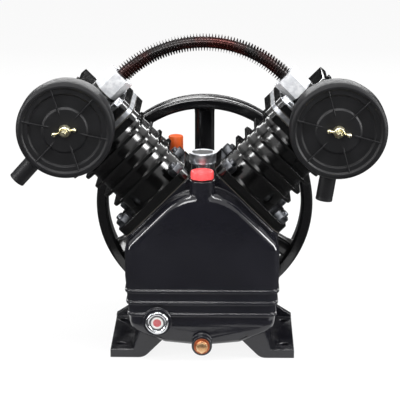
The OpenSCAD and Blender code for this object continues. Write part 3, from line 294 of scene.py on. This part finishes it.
# %% Tarnished copper
f = Finish("dark_copper")
rubbed = f.ramp(f.noise(26, 4, 0.55), 0.42, 0.66)
speck = f.ramp(f.noise(700, 2), 0.58, 0.75)
colour = f.mix(rubbed, ink(18, 14, 14), ink(64, 28, 25))
colour = f.mix(speck * 0.1, colour, ink(136, 112, 100))
finishes["dark_copper"] = f.close(colour, 0.3 - rubbed * 0.1, 0.35 + rubbed * 0.4,
                                  f.relief(f.noise(800, 3), 0.00003))
print("copper added, now", len(finishes), "finishes")

# %% [markdown]
# Gaskets, rubber and filter felt are matte, with a grain of their own size. The lens of the sight
# glass is clear: a thin smeared film with a little colour, so that the plate behind it shows.

# %% Gasket, rubber, felt and glass
def matte(name, dark, pale, fine, depth, rough):
    f = Finish(name)
    grain = f.noise(fine, 4, 0.65)
    colour = f.mix(f.ramp(grain, 0.35, 0.65), ink(*dark), ink(*pale))
    return f.close(colour, rough + grain * 0.15, normal=f.relief(grain, depth),
                   Specular_IOR_Level=0.3)


for name, dark, pale, fine, depth, rough in (
        ("gasket", (38, 36, 33), (62, 58, 52), 1400, 0.00005, 0.7),
        ("rubber", (20, 20, 20), (34, 34, 34), 900, 0.00003, 0.55),
        ("filter_felt", (170, 162, 132), (204, 196, 168), 1100, 0.00005, 0.8)):
    finishes[name] = matte(name, dark, pale, fine, depth, rough)

f = Finish("sight_glass")
smear = f.noise(260, 3)
finishes["sight_glass"] = f.close(ink(150, 156, 158), 0.04 + smear * 0.08,
                                  Alpha=0.06 + smear * 0.1, normal=f.relief(smear, 0.00001))
print("matte finishes and glass added, now", len(finishes), "finishes")

# %% [markdown]
# The disc behind the sight glass is a pale plate with a painted red dot, which shows the oil level.
# The distance from the dot's middle, counted in dot_unit, makes two ring masks: one for the dot and
# one for the plate's dark margin. So the dot needs no picture.

# %% The red dot behind the sight glass
sight_x, sight_z, sight_face = -0.048, 0.0464, 0.079
dot_unit, dot_edge, margin_edge = 0.01, (0.42, 0.46), (0.62, 0.68)
f = Finish("red_dot_plate")
spot = f.place((dot_unit, dot_unit, dot_unit), centre=(sight_x, -sight_face - mm, sight_z))
reach = f.node("ShaderNodeVectorMath", {"operation": "LENGTH"}, {0: spot}, "Value")
film = f.noise(600, 2)
colour = f.mix(film, ink(186, 182, 178), ink(232, 228, 224))
colour = f.mix(f.ramp(reach, *margin_edge), colour, ink(40, 38, 40))
red = f.mix(film, ink(150, 18, 28), ink(196, 40, 46))
colour = f.mix(f.ramp(reach, *dot_edge, 1.0, 0.0), colour, red)
finishes["red_dot_plate"] = f.close(colour, 0.35 + film * 0.1, normal=f.relief(film, 0.00002))
print("dot radius about", round(sum(dot_edge) / 2 * dot_unit / mm, 1), "mm")

# %% [markdown]
# Every solid takes the finish of its own slot in the record, apart from the few in own. A solid
# whose form is right keeps it for good, and the others are replaced further down by pieces with
# more detail.

# %% Dress every solid
slots = {part["node"]: part["material_slot"] for part in frame["record"]["subparts"]}
own = {"flywheel": "wheel_paint", "discharge_pipe": "pipe_paint", "wing_nut_left": "yellow_zinc",
       "wing_nut_right": "yellow_zinc", "outlet_block": "dark_iron", "cooler_tube": "dark_copper"}
for node, solid in frame["nodes"].items():
    solid.data.materials.clear()
    solid.data.materials.append(finishes[own.get(node, slots[node])])
print("solids dressed:", len(frame["nodes"]), "in", len(set(slots.values())), "slots")

# %% [markdown]
# The floor is pale and far wider than the view. Part of its white is painted and takes the lamps'
# shadow, and part of it is light that only the camera, mirrors and glass see. The world does the
# same, so the backdrop is white while the object is lit at a plain level.

# %% Floor and backdrop
def set_out(name, bm):
    """Makes a mesh object of a bmesh and puts it in the scene."""
    mesh = bpy.data.meshes.new(name)
    bm.to_mesh(mesh)
    bm.free()
    piece = bpy.data.objects.new(name, mesh)
    bpy.context.scene.collection.objects.link(piece)
    return piece


def seen(finish):
    """1 for the rays of the camera, of mirrors and of glass, and 0 for those that give light."""
    path = finish.tree.nodes.new("ShaderNodeLightPath")
    camera_ray, mirror_ray, glass_ray = [
        Value(finish, path.outputs[name])
        for name in ("Is Camera Ray", "Is Glossy Ray", "Is Transmission Ray")]
    either = camera_ray.maths("MAXIMUM", camera_ray, mirror_ray)
    return camera_ray.maths("MAXIMUM", either, glass_ray)


white, floor_grey = (1, 1, 1, 1), (0.82, 0.82, 0.82, 1)
floor_size, floor_glow, world_light = 6, 0.88, 0.55

bm = bmesh.new()
bmesh.ops.create_grid(bm, x_segments=2, y_segments=2, size=floor_size)
floor = set_out("floor", bm)

f = Finish("floor")
paint = f.node("ShaderNodeBsdfDiffuse", None, {"Color": floor_grey})
glow = f.node("ShaderNodeEmission", None, {"Color": white, "Strength": 1.0})
shade = f.node("ShaderNodeMixShader", None, {0: seen(f) * floor_glow, 1: paint, 2: glow})
f.plug(f.tree.nodes.new("ShaderNodeOutputMaterial").inputs["Surface"], shade)
floor.data.materials.append(f.material)

world = bpy.data.worlds.new("studio")
bpy.context.scene.world = world
world.use_nodes = True
f = Finish("world", world.node_tree)
strength = f.ramp(seen(f), 0, 1, world_light, 1.0)
sky = f.node("ShaderNodeBackground", None, {"Color": white, "Strength": strength})
f.plug(f.tree.nodes.new("ShaderNodeOutputWorld").inputs["Surface"], sky)
print("floor of", 2 * floor_size, "m and a world with", world_light, "of its light on the object")


# %% [markdown]
# Black gloss shows only what it reflects. Narrow strip lights overhead, at both sides and behind
# draw the thin white lines on the shoulders, the fins and the rims. Each lamp is given by its
# place, the point that it aims at, its width and height in metres and its watts.

# %% Studio lights
def softbox(name, where, aim, width, height, watts):
    lamp = bpy.data.lights.new(name, "AREA")
    lamp.shape, lamp.size, lamp.size_y, lamp.energy = "RECTANGLE", width, height, watts
    box = bpy.data.objects.new(name, lamp)
    box.location = where
    box.rotation_euler = (Vector(aim) - Vector(where)).to_track_quat("-Z", "Y").to_euler()
    bpy.context.scene.collection.objects.link(box)


softbox("overhead", (0.0, -0.45, 1.5), (0, 0, 0.15), 1.3, 0.09, 16)
softbox("left_strip", (-1.2, -0.55, 0.7), (0, 0, 0.17), 0.12, 1.2, 14)
softbox("right_strip", (1.2, -0.3, 0.7), (0, 0, 0.17), 0.34, 1.2, 30)
softbox("back_strip", (0.0, 1.5, 0.8), (0, 0, 0.2), 1.8, 0.2, 12)
softbox("front_fill", (-0.4, -1.9, 1.1), (0, 0, 0.15), 0.9, 0.5, 18)
print("lamps:", ", ".join(lamp.name for lamp in bpy.data.lights))

# %% [markdown]
# A dark card lies on the floor round the foot of the object and is folded up at its far edge. The
# camera and the light pass through it, and only mirrors see it. It keeps the flat black faces
# black, where the white floor would turn them grey.

# %% A dark card for the mirrors
card_inner, card_outer, card_rise, card_lift = 0.16, 2.5, 1.0, 0.002
bm = bmesh.new()
for radius in (card_inner, card_outer):
    bmesh.ops.create_circle(bm, segments=48, radius=radius)
bmesh.ops.bridge_loops(bm, edges=bm.edges[:])
outer = [e for e in bm.edges if e.is_boundary and e.verts[0].co.length > 1]
raised = [v for v in bmesh.ops.extrude_edge_only(bm, edges=outer)["geom"]
          if isinstance(v, bmesh.types.BMVert)]
bmesh.ops.translate(bm, vec=(0, 0, card_rise), verts=raised)
bmesh.ops.translate(bm, vec=(0, 0, card_lift), verts=bm.verts)
card = set_out("dark_card", bm)
card.visible_camera = card.visible_diffuse = card.visible_shadow = False
f = Finish("dark_card")
felt = f.mix(f.noise(300, 2), ink(11, 11, 12), ink(18, 18, 20))
card.data.materials.append(f.close(felt, 0.9 + f.noise(90) * 0.05))
print("card of", len(card.data.polygons), "faces")


# %% [markdown]
# Three places repeat on this machine: a cylinder bank, a filter's face and the crank axis. Each is
# a matrix, so that a piece is modelled round its own Z axis and then set down in one step.

# %% Places on the machine
axis_height = 0.130
tilt = radians(45)
stagger = 8


def bank(side, y=0.0, across=0.0):
    """X across the bank and outwards, Y to the rear, Z up the slope, in metres."""
    slope = Matrix(((side * cos(tilt), 0, side * sin(tilt), 0),
                    (0, 1, 0, y),
                    (-sin(tilt), 0, cos(tilt), axis_height),
                    (0, 0, 0, 1)))
    return slope @ Matrix.Translation((across, 0, 0))


def front(x, z, forward, turn=0.0):
    """Z towards the front, X to the right and Y up in the front view."""
    return (Matrix.Translation((x, -forward, z)) @ Matrix.Rotation(radians(90), 4, "X")
            @ Matrix.Rotation(radians(turn), 4, "Z"))


def on_crank(turn=0.0):
    """Z along the crank axis and to the rear."""
    return (Matrix.Translation((0, 0, axis_height)) @ Matrix.Rotation(radians(-90), 4, "X")
            @ Matrix.Rotation(radians(turn), 4, "Z"))


def lift(height):
    """A step of so many millimetres along the piece's own Z axis."""
    return Matrix.Translation((0, 0, height * mm))


print("left bank points to", [round(v, 2) for v in bank(-1) @ Vector((0, 0, 0.2))])


# %% [markdown]
# Round pieces are turned on a lathe in real life, and here too: a profile of radius and height, in
# mm, is spun about Z with use_merge, so that the seam closes. A closed profile makes a ring or a
# shell, and an open one has both ends on the axis.

# %% Helpers that shape a piece
def lathe(profile, steps, closed=False):
    bm = bmesh.new()
    points = [bm.verts.new((r * mm, 0, h * mm)) for r, h in profile]
    pairs = list(zip(points, points[1:])) + ([(points[-1], points[0])] if closed else [])
    edges = [bm.edges.new(pair) for pair in pairs]
    bmesh.ops.spin(bm, geom=points + edges, cent=(0, 0, 0), axis=(0, 0, 1), angle=2 * pi,
                   steps=steps, use_merge=True)
    bmesh.ops.remove_doubles(bm, verts=bm.verts, dist=1e-7)
    return bm


def threaded(radius, depth, start, rows, tip_radius, tip):
    """The profile of a threaded rod, whose crests and roots take turns every half millimetre."""
    teeth = [(radius - depth * (i % 2), start + 0.5 * i) for i in rows]
    return [(0, start)] + teeth + [(tip_radius, tip), (0, tip)]


def close_ends(bm):
    bmesh.ops.holes_fill(bm, edges=[e for e in bm.edges if e.is_boundary])


def add(bm, other, place=Matrix()):
    """Puts a copy of the other bmesh into this one. A mirroring place turns its faces back out."""
    other = other.copy()
    bmesh.ops.transform(other, matrix=place, verts=other.verts)
    if place.determinant() < 0:
        bmesh.ops.reverse_faces(other, faces=other.faces)
    spare = bpy.data.meshes.new("spare")
    other.to_mesh(spare)
    bm.from_mesh(spare)
    bpy.data.meshes.remove(spare)
    other.free()


print("a stud profile has", len(threaded(3, 0.3, 0, range(9), 2, 5)), "points")


# %% [markdown]
# Every piece is finished in the same way. It is set in its place, shaded smooth up to an angle, and
# its sharp edges are rounded by a Bevel modifier with the same angle as its limit, which leaves the
# smooth flanks alone. Then it rides on its body and stands in for its CAD nodes.

# %% Finish a piece
def make(name, bm, finish, body, replaced=(), place=Matrix(), soft=0.0, angle=30):
    bmesh.ops.transform(bm, matrix=place, verts=bm.verts)
    bmesh.ops.recalc_face_normals(bm, faces=bm.faces)
    piece = set_out(name, bm)
    mesh = piece.data
    mesh.shade_smooth()
    mesh.set_sharp_from_angle(angle=radians(angle))
    mesh.materials.append(finishes[finish])
    if soft:
        edge = piece.modifiers.new("edge", "BEVEL")
        edge.width, edge.segments, edge.limit_method = soft * mm, 2, "ANGLE"
        edge.angle_limit, edge.harden_normals = radians(angle), True
    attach(piece, body)
    if replaced:
        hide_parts(*([replaced] if isinstance(replaced, str) else replaced))
    print(name, len(mesh.polygons), "faces")
    return piece


# %% [markdown]
# A solid arrives as loose triangles, so its curves look cut. A copy with the doubled corners merged
# and the flat parts joined shades smooth, and a Bevel modifier can then break its sharp edges, as
# shot-blasting and two coats of paint do on a real casting.

# %% Smooth castings
def casting(node, finish, soft):
    weld_gap, flat_angle = 2e-6, 0.004
    bm = bmesh.new()
    bm.from_mesh(frame["nodes"][node].data)
    bmesh.ops.remove_doubles(bm, verts=bm.verts, dist=weld_gap)
    bmesh.ops.dissolve_limit(bm, angle_limit=flat_angle, verts=bm.verts, edges=bm.edges)
    piece = make(node + "_casting", bm, finish, block, node, soft=soft, angle=32)
    for edge in piece.modifiers:
        edge.use_clamp_overlap = False


casting("crankcase", "case_paint", 0.6)
casting("rear_bearing_cover", "case_paint", 0.4)
for name in ("left", "right"):
    casting("cylinder_" + name, "cylinder_paint", 0.3)
    casting("head_" + name, "head_paint", 0.35)
casting("discharge_pipe", "pipe_paint", 0.0)

# %% [markdown]
# The filter cover is a shallow lid. Its outer rim stands proud, a step leads down to a shelf, a
# second step to a bowl, and a low disc in the middle carries the wing nut. Six thin ribs run from
# the rim to the disc and taper off there. The lid is a shell, so it is spun from a closed profile.

# %% Filter covers
filter_x, filter_z, cover_back = 0.141704, 0.261239, 0.076
rib_length, rib_width, rib_height = 34 * mm, 1.5 * mm, 2.6 * mm
rib_reach, rib_level = 29.5 * mm, 21.4 * mm
rib_taper = (9 * mm, 0, -0.6 * mm)
lid_profile = [(4.6, 21.0), (22.5, 21.0), (24.5, 19.2), (37.4, 19.2), (39.0, 21.2), (43.6, 21.2),
               (45.4, 23.0), (47.6, 23.0), (50.0, 21.6), (51.0, 19.0), (51.0, 0.0), (48.5, 0.0),
               (48.5, 16.8), (38.0, 16.8), (24.0, 16.8), (4.6, 18.0)]
for side, name, turn in ((-1, "left", -12), (1, "right", -15)):
    lid = lathe(lid_profile, 96, closed=True)
    for i in range(6):
        rib = bmesh.new()
        bmesh.ops.create_cube(rib, size=1)
        bmesh.ops.scale(rib, vec=(rib_length, rib_width, rib_height), verts=rib.verts)
        ends = [v for v in rib.verts if v.co.x < 0 and v.co.z > 0]
        bmesh.ops.translate(rib, vec=rib_taper, verts=ends)
        add(lid, rib, Matrix.Rotation(radians(turn + 60 * i), 4, "Z")
            @ Matrix.Translation((rib_reach, 0, rib_level)))
    make("lid_" + name, lid, "filter_plastic", block, "filter_cover_" + name,
         front(side * filter_x, filter_z, cover_back), 0.45)

# %% [markdown]
# The filter base is a cup that the lid closes, and its snorkel is a straight tube with a fine
# groove near its mouth. The snorkels point down and outwards, each at its own angle.

# %% Filter bases with their snorkels
base_back, snorkel_level = 0.0555, 10.25
cup_profile = [(10.05, 0.0), (46.5, 0.0), (48.5, 2.0), (48.5, 20.5), (46.0, 20.5), (46.0, 2.5),
               (10.05, 2.5)]
snorkel_profile = [(7.0, 44.0), (9.0, 44.0), (9.0, 77.0), (8.8, 78.0), (9.0, 79.0), (9.0, 82.0),
                   (7.0, 82.0)]
for side, name, turn in ((-1, "left", 228), (1, "right", 261)):
    base = lathe(cup_profile, 96, closed=True)
    snorkel = lathe(snorkel_profile, 48, closed=True)
    add(base, snorkel, lift(snorkel_level) @ Matrix.Rotation(radians(turn), 4, "Z")
        @ Matrix.Rotation(radians(90), 4, "Y"))
    make("base_" + name, base, "filter_plastic", block, "filter_base_" + name,
         front(side * filter_x, filter_z, base_back), 0.5)

# %% [markdown]
# A wing nut is cast: a coned hub and two ears that are thin at the root and fat near the tip. An
# ear is a row of ovals with a skin over them, and the other ear is the same one turned round. Each
# oval is given by its reach from the axis, its level, half its thickness and half its height.

# %% Wing nuts
def loft(rings, steps=20):
    """Skins a row of ovals, each given by its middle and its two half axes, in mm."""
    bm = bmesh.new()
    rows = []
    for middle, one, two in rings:
        rows.append([bm.verts.new((Vector(middle) + cos(2 * pi * i / steps) * Vector(one)
                                   + sin(2 * pi * i / steps) * Vector(two)) * mm)
                     for i in range(steps)])
    for low, high in zip(rows, rows[1:]):
        for i in range(steps):
            j = (i + 1) % steps
            bm.faces.new((low[i], low[j], high[j], high[i]))
    bm.faces.new(rows[0][::-1])
    bm.faces.new(rows[-1])
    return bm


nut_face = 0.0974
nut_profile = [(3.3, 0), (6.6, 0), (6.6, 0.8), (6.2, 1.4), (5.5, 6.6), (5.1, 7.0), (3.3, 7.0)]
ear_ovals = ((4.4, 3.6, 1.2, 2.4), (6.0, 4.2, 1.15, 2.3), (7.6, 5.2, 1.5, 2.5),
             (9.0, 6.2, 2.1, 2.9), (10.4, 6.9, 2.5, 3.1), (11.6, 7.2, 2.4, 2.9),
             (12.5, 7.3, 1.8, 2.2), (13.0, 7.3, 0.9, 1.1))
for side, name, turn in ((-1, "left", 13), (1, "right", -11)):
    nut = lathe(nut_profile, 40, closed=True)
    ear = loft([((out, 0, level), (0, thick, 0), (0, 0, tall))
                for out, level, thick, tall in ear_ovals])
    for half in (0, 180):
        add(nut, ear, Matrix.Rotation(radians(half), 4, "Z"))
    make("wing_nut_body_" + name, nut, "yellow_zinc", name + "_wing_nut",
         "wing_nut_" + name, front(side * filter_x, filter_z, nut_face, turn), 0.25,
         angle=50)

# %% [markdown]
# The rods that hold the filters together are threaded from end to end. At this size a row of turned
# crests looks the same as a real helix and stays a closed form.

# %% Filter studs
rod = lathe(threaded(3.1, 0.3, 0, range(1, 116), 2.2, 58.5), 20)
rods = bmesh.new()
for side in (-1, 1):
    add(rods, rod, front(side * filter_x, filter_z, base_back))
make("filter_stud_pair", rods, "yellow_zinc", block, "filter_studs")

# %% [markdown]
# The cooler is a copper tube with one long strip wound round it on edge. The strip is crimped at
# its root, which is why it looks dense near the tube and like thin spikes at its rim. A short line
# is spun with a rise to wind a straight helix, its root is waved, and the helix is then bent onto
# the tube's arc. A Solidify modifier gives the strip its thickness.

# %% The crimped fin of the cooler
cooler_r, cooler_z = 0.124, 0.213439
pitch, turns, steps = 3.2 * mm, 60, 40
fin_radii = (5.8, 6.6, 7.6, 8.6, 9.5)
crimp, crimp_reach, strip_thickness = 0.6 * mm, 2.4, 0.24 * mm


def bend(bm):
    """Bends what lies along X onto the tube's arc, whose middle is straight above its centre."""
    for v in bm.verts:
        angle = v.co.x / cooler_r
        reach = cooler_r + v.co.z
        v.co = Vector((reach * sin(angle), v.co.y, cooler_z + reach * cos(angle)))


def wound_fin():
    bm = bmesh.new()
    line = [bm.verts.new((0, 0, r * mm)) for r in fin_radii]
    edges = [bm.edges.new(pair) for pair in zip(line, line[1:])]
    bmesh.ops.spin(bm, geom=line + edges, cent=(0, 0, 0), axis=(1, 0, 0), angle=2 * pi * turns,
                   steps=turns * steps, dvec=(pitch / steps, 0, 0))
    bmesh.ops.translate(bm, vec=(-pitch * turns / 2, 0, 0), verts=bm.verts)
    for v in bm.verts:
        r = sqrt(v.co.y ** 2 + v.co.z ** 2)
        fade = max(0.0, 1 - (r / mm - fin_radii[0]) / crimp_reach)
        around = round((v.co.x + pitch * turns / 2) / pitch * steps)
        v.co.x += crimp * fade * (1 if around % 4 < 2 else -1)
    bend(bm)
    return bm


print("strip of", turns, "turns,", round(turns * pitch / mm), "mm along the tube")

# %% [markdown]
# The tube itself is a ring, stood up at one end of the arc and spun round the arc's centre to the
# other end. Both ends are closed, though the union nuts hide them.

# %% Cooler tube
pipe_radius = 6.2 * mm
arc = bmesh.new()
ring = bmesh.ops.create_circle(arc, cap_ends=False, segments=32, radius=pipe_radius)["verts"]
bmesh.ops.rotate(arc, cent=(0, 0, 0), matrix=Matrix.Rotation(radians(90), 3, "Y"), verts=ring)
bmesh.ops.translate(arc, vec=(0, 0, cooler_z + cooler_r), verts=ring)
bmesh.ops.rotate(arc, cent=(0, 0, cooler_z), matrix=Matrix.Rotation(-tilt, 3, "Y"), verts=ring)
bmesh.ops.spin(arc, geom=arc.verts[:] + arc.edges[:], cent=(0, 0, cooler_z), axis=(0, 1, 0),
               angle=2 * tilt, steps=90)
close_ends(arc)
make("cooler_pipe", arc, "dark_copper", block, ("cooler_tube",))
fin = make("cooler_fin", wound_fin(), "dark_copper", block, angle=80)
strip = fin.modifiers.new("strip", "SOLIDIFY")
strip.thickness, strip.offset = strip_thickness, 0.0


# %% [markdown]
# Bolts and nuts are what the eye checks first. A hexagon from the bar has its corners turned down
# to a cone, and a fresh edge all round, so each head is a six-sided prism whose rims are bevelled.
# A bolt head also has a round flange, which is a little wider than the hexagon.

# %% Hexagons
def hexagon(flats, height, chamfer, both=False):
    bm = bmesh.new()
    bmesh.ops.create_cone(bm, cap_ends=True, segments=6, radius1=flats / sqrt(3) * mm,
                          radius2=flats / sqrt(3) * mm, depth=height * mm)
    bmesh.ops.translate(bm, vec=(0, 0, height / 2 * mm), verts=bm.verts)
    rims = [e for e in bm.edges
            if abs(e.verts[0].co.z - e.verts[1].co.z) < 1e-6 and (both or e.verts[0].co.z > 1e-5)]
    bmesh.ops.bevel(bm, geom=rims, offset=chamfer * mm, segments=2, profile=0.5,
                    affect="EDGES", material=-1)
    return bm


bolt_flats, bolt_height, bolt_chamfer, shank_radius = 13, 5.5, 0.9, 4


def bolt(start, seat):
    """A bolt whose shank runs up the Z axis from start and whose head sits at seat."""
    bm = lathe([(0, start), (shank_radius, start), (shank_radius, seat), (0, seat)], 24)
    head = hexagon(bolt_flats, bolt_height, bolt_chamfer)
    flange = bolt_flats / 2 + 1.6
    add(head, lathe([(0, -0.02), (flange, -0.02), (flange, 1.1), (bolt_flats / 2 - 0.4, 1.4),
                     (0, 1.4)], 40))
    add(bm, head, lift(seat))
    return bm


print("a bolt has", len(bolt(0, 10).faces), "faces")

# %% [markdown]
# The banks stand staggered, the right one to the rear, because both rods share one crankpin. Each
# head is held by four bolts and each cylinder's foot by four nuts on studs. The rear cover has a
# circle of six bolts.

# %% Head bolts, cylinder nuts and rear cover bolts
def bank_spots(across, along):
    """The places of the bolts of both banks, from their distances to the bore's axis in mm."""
    return [bank(side, side * stagger * mm + y * mm, x * mm)
            for side in (-1, 1) for x in across for y in along]


bolts = bmesh.new()
for spot in bank_spots((-41, 41), (-38, 38)):
    add(bolts, bolt(145.5, 167), spot)
make("head_bolt_set", bolts, "zinc_steel", block, "head_bolts", soft=0.25)

nuts, studs = bmesh.new(), bmesh.new()
nut_seat = 71
for spot in bank_spots((-34, 45), (-36, 36)):
    add(nuts, hexagon(15, 8, 0.9, both=True), spot @ lift(nut_seat))
    add(studs, lathe(threaded(4.5, 0.35, 45.5, range(74), 3.6, 82.6), 20), spot)
make("cylinder_nut_set", nuts, "dark_zinc", block, "cylinder_nuts", soft=0.2)
make("cylinder_stud_set", studs, "dark_zinc", block, "cylinder_studs")

bolt_circle = 59 * mm
rear = bmesh.new()
for i in range(6):
    add(rear, bolt(62.5, 84), on_crank(60 * i + 30) @ Matrix.Translation((bolt_circle, 0, 0)))
make("rear_bolt_set", rear, "zinc_steel", block, "rear_cover_bolts", soft=0.25)

# %% [markdown]
# The orange cap is a soft push-on cap that keeps dirt out of the threaded outlet until a pipe is
# fitted. It has a bead round its mouth, fine grip flutes and a rounded crown.

# %% Outlet cap
outlet_x, outlet_y, outlet_z = -0.0313904, 0.056, 0.202731
flutes, flute_depth = 30, 0.018
cap = lathe([(0, 15.8), (6.6, 15.8), (6.6, 0), (9.0, 0), (9.05, 1.5), (8.9, 2.8), (8.1, 3.2),
             (8.25, 4.0), (8.25, 17.4), (7.7, 18.6), (6.4, 19.0), (0, 19.0)], 60)
for v in cap.verts:
    if 3.9 < v.co.z / mm < 17.5 and v.co.xy.length > 8 * mm:
        angle = v.co.xy.angle_signed(Vector((1, 0)))
        v.co.xy *= 1 - flute_depth * (0.5 - 0.5 * cos(flutes * angle))
make("outlet_cap_shell", cap, "orange_plastic", "outlet_cover", "outlet_cap",
     Matrix.Translation((outlet_x, outlet_y, outlet_z)), 0.2)

# %% [markdown]
# The oil filler plug is a red push-in plug with six finger notches. The notches are pressed into a
# fine lathe form, deeper at the rim than further in, which keeps a smooth rolled edge.

# %% Oil filler plug
plug_y, plug_z = -0.0615, 0.200832 + 1.4 * mm
notches, notch_depth, notch_start, notch_root = 6, 0.11, 0.35, 10
plug = lathe([(0, -12), (7.6, -12), (8.0, -11.4), (8.0, 0), (12.2, 0), (12.5, 0.6), (12.5, 6.6),
              (11.9, 7.9), (10.6, 8.5), (8.6, 8.5), (7.8, 7.7), (0, 7.7)], 96)
for v in plug.verts:
    reach = v.co.xy.length / mm
    if v.co.z > -0.1 * mm and reach > notch_root:
        angle = v.co.xy.angle_signed(Vector((1, 0)))
        dip = max(0.0, cos(notches * angle) - notch_start) / (1 - notch_start)
        v.co.xy *= 1 - notch_depth * dip * (reach - notch_root) / 2.5
make("filler_plug_body", plug, "red_plastic", "filler_plug", "oil_filler_plug",
     Matrix.Translation((0, plug_y, plug_z)), 0.3)

# %% [markdown]
# The breather is a plated cap like a small cup, drawn from sheet and rolled over at its top round a
# dark disc. A fine line low on its side is the seam where it is pressed onto its neck.

# %% Breather
breather_y, breather_z, disc_level = -0.030, 0.202832 + 9 * mm, 11
dome = lathe([(0, -18), (7, -18), (7, 0), (13.8, 0), (14.3, 0.5), (14.3, 1.5), (13.9, 1.8),
              (13.9, 2.1), (14.5, 2.5), (14.5, 9.8), (14.2, 11.0), (13.5, 11.7), (12.6, 12.0),
              (12.0, 11.8), (11.6, disc_level), (0, disc_level)], 72)
breather = make("breather_dome", dome, "zinc_steel", block, "breather",
                Matrix.Translation((0, breather_y, breather_z)))
breather.data.materials.append(finishes["rubber"])
for face in breather.data.polygons:
    above = face.center.z - breather_z - disc_level * mm
    if abs(above) < 1e-5 and face.normal.z > 0.99:
        face.material_index = 1

# %% [markdown]
# The sight glass sits in a bright turned bezel with a rounded brim and a bevelled mouth that leads
# the eye to the red dot. The plate and the lens are pieces of their own with a gap between them, as
# two faces in one plane would flicker.

# %% Sight glass
sight = front(sight_x, sight_z, sight_face)
bezel = lathe([(6, -8), (9, -8), (9, 0), (12.5, 0), (12.5, 1.9), (11.6, 3.1), (10.2, 3.5),
               (9.3, 3.2), (8.52, 2.4), (8.52, 0.5), (6, 0.5)], 72, closed=True)
make("sight_bezel", bezel, "chrome", block, "sight_glass_bezel", sight, 0.3)
plate = lathe([(0, 0.6), (8.4, 0.6), (8.4, 1.3), (0, 1.3)], 48)
make("sight_plate", plate, "red_dot_plate", block, "sight_glass_reflector", sight)
lens = lathe([(0, 1.8), (8.4, 1.8), (8.4, 2.5), (7.0, 2.9), (4.0, 3.2), (0, 3.3)], 48)
make("sight_lens", lens, "sight_glass", block, "sight_glass_lens", sight)

# %% [markdown]
# The drain plug is a small brass hexagon with a short thread, right under the crankcase's front.

# %% Drain plug
drain_z, drain_face = 0.022, 0.0855
drain = hexagon(11, 6, 0.8)
add(drain, lathe([(0, -9), (6, -9), (6, 0), (6.25, 0), (6.25, 1.2), (5.6, 1.5), (0, 1.5)], 40))
make("drain_plug_body", drain, "brass", block, "drain_plug", front(0, drain_z, drain_face), 0.12)

# %% [markdown]
# The flywheel is a cast belt pulley. Its rim carries one V groove, and its three spokes are pitched
# like fan blades, so that it blows air over the cylinders. The spokes flare into the rim and the
# hub, as every casting does, because sharp inner corners crack.

# %% Rim and hub of the flywheel
rim_front, hub_front = 101, 96
rim = lathe([(114.5, 0), (121.5, 0), (122.9, 0.3), (124.0, 1.0), (124.7, 2.1), (125, 3.5),
             (125, 6.5), (116.5, 9.5), (116.5, 16.5), (125, 19.5), (125, 25), (124, 26),
             (114.5, 26), (112, 23.5), (111.6, 13), (112, 2.5)], 144, closed=True)
bmesh.ops.translate(rim, vec=(0, 0, rim_front * mm), verts=rim.verts)
hub = lathe([(14.05, 0), (25.5, 0), (27, 1.5), (28.2, 9), (28.2, 27), (27, 34.5), (25.5, 36),
             (14.05, 36)], 72, closed=True)
add(rim, hub, lift(hub_front))
print("rim and hub:", len(rim.faces), "faces")

# %% [markdown]
# A spoke is one flattened circle that is pushed out step by step and resized on the way: it is
# flared at the hub, even along its length, and flared again where it meets the rim.

# %% Spokes of the flywheel
spoke_thick, spoke_wide, flare_share = 5.0 * mm, 12.0 * mm, 0.35
spoke_start, spoke_level, spoke_pitch = 21 * mm, 13, 22
spoke_steps = ((3, 0.86), (5, 0.9), (10, 1.0), (20, 1.0), (38, 1.0), (8, 1.0), (6, 1.12), (4, 1.2))


def flattened(value, power):
    return abs(value) ** power * (1 if value > 0 else -1)


def spoke():
    bm = bmesh.new()
    ring = bmesh.ops.create_circle(bm, cap_ends=True, segments=28, radius=1)["verts"]
    for v in ring:
        v.co.x, v.co.y = flattened(v.co.x, 0.7), flattened(v.co.y, 0.5)
    bmesh.ops.scale(bm, vec=(spoke_thick, spoke_wide, 1), verts=ring)
    tip = bm.faces[:]
    for reach, size in spoke_steps:
        tip = bmesh.ops.extrude_discrete_faces(bm, faces=tip)["faces"]
        verts = list({v for f in tip for v in f.verts})
        bmesh.ops.translate(bm, vec=(0, 0, reach * mm), verts=verts)
        bmesh.ops.scale(bm, vec=(size, 1 + (size - 1) * flare_share, 1), verts=verts)
    close_ends(bm)
    return bm


blade = spoke()
bmesh.ops.scale(blade, vec=(1.35, 1.05, 1), verts=blade.verts)
for i in range(3):
    add(rim, blade, lift(rim_front + spoke_level)
        @ Matrix.Rotation(radians(120 * i - 90), 4, "Z") @ Matrix.Translation((spoke_start, 0, 0))
        @ Matrix.Rotation(radians(90), 4, "Y") @ Matrix.Rotation(radians(spoke_pitch), 4, "Z"))
make("belt_wheel", rim, "wheel_paint", crank, "flywheel", on_crank(), 0.6)

# %% [markdown]
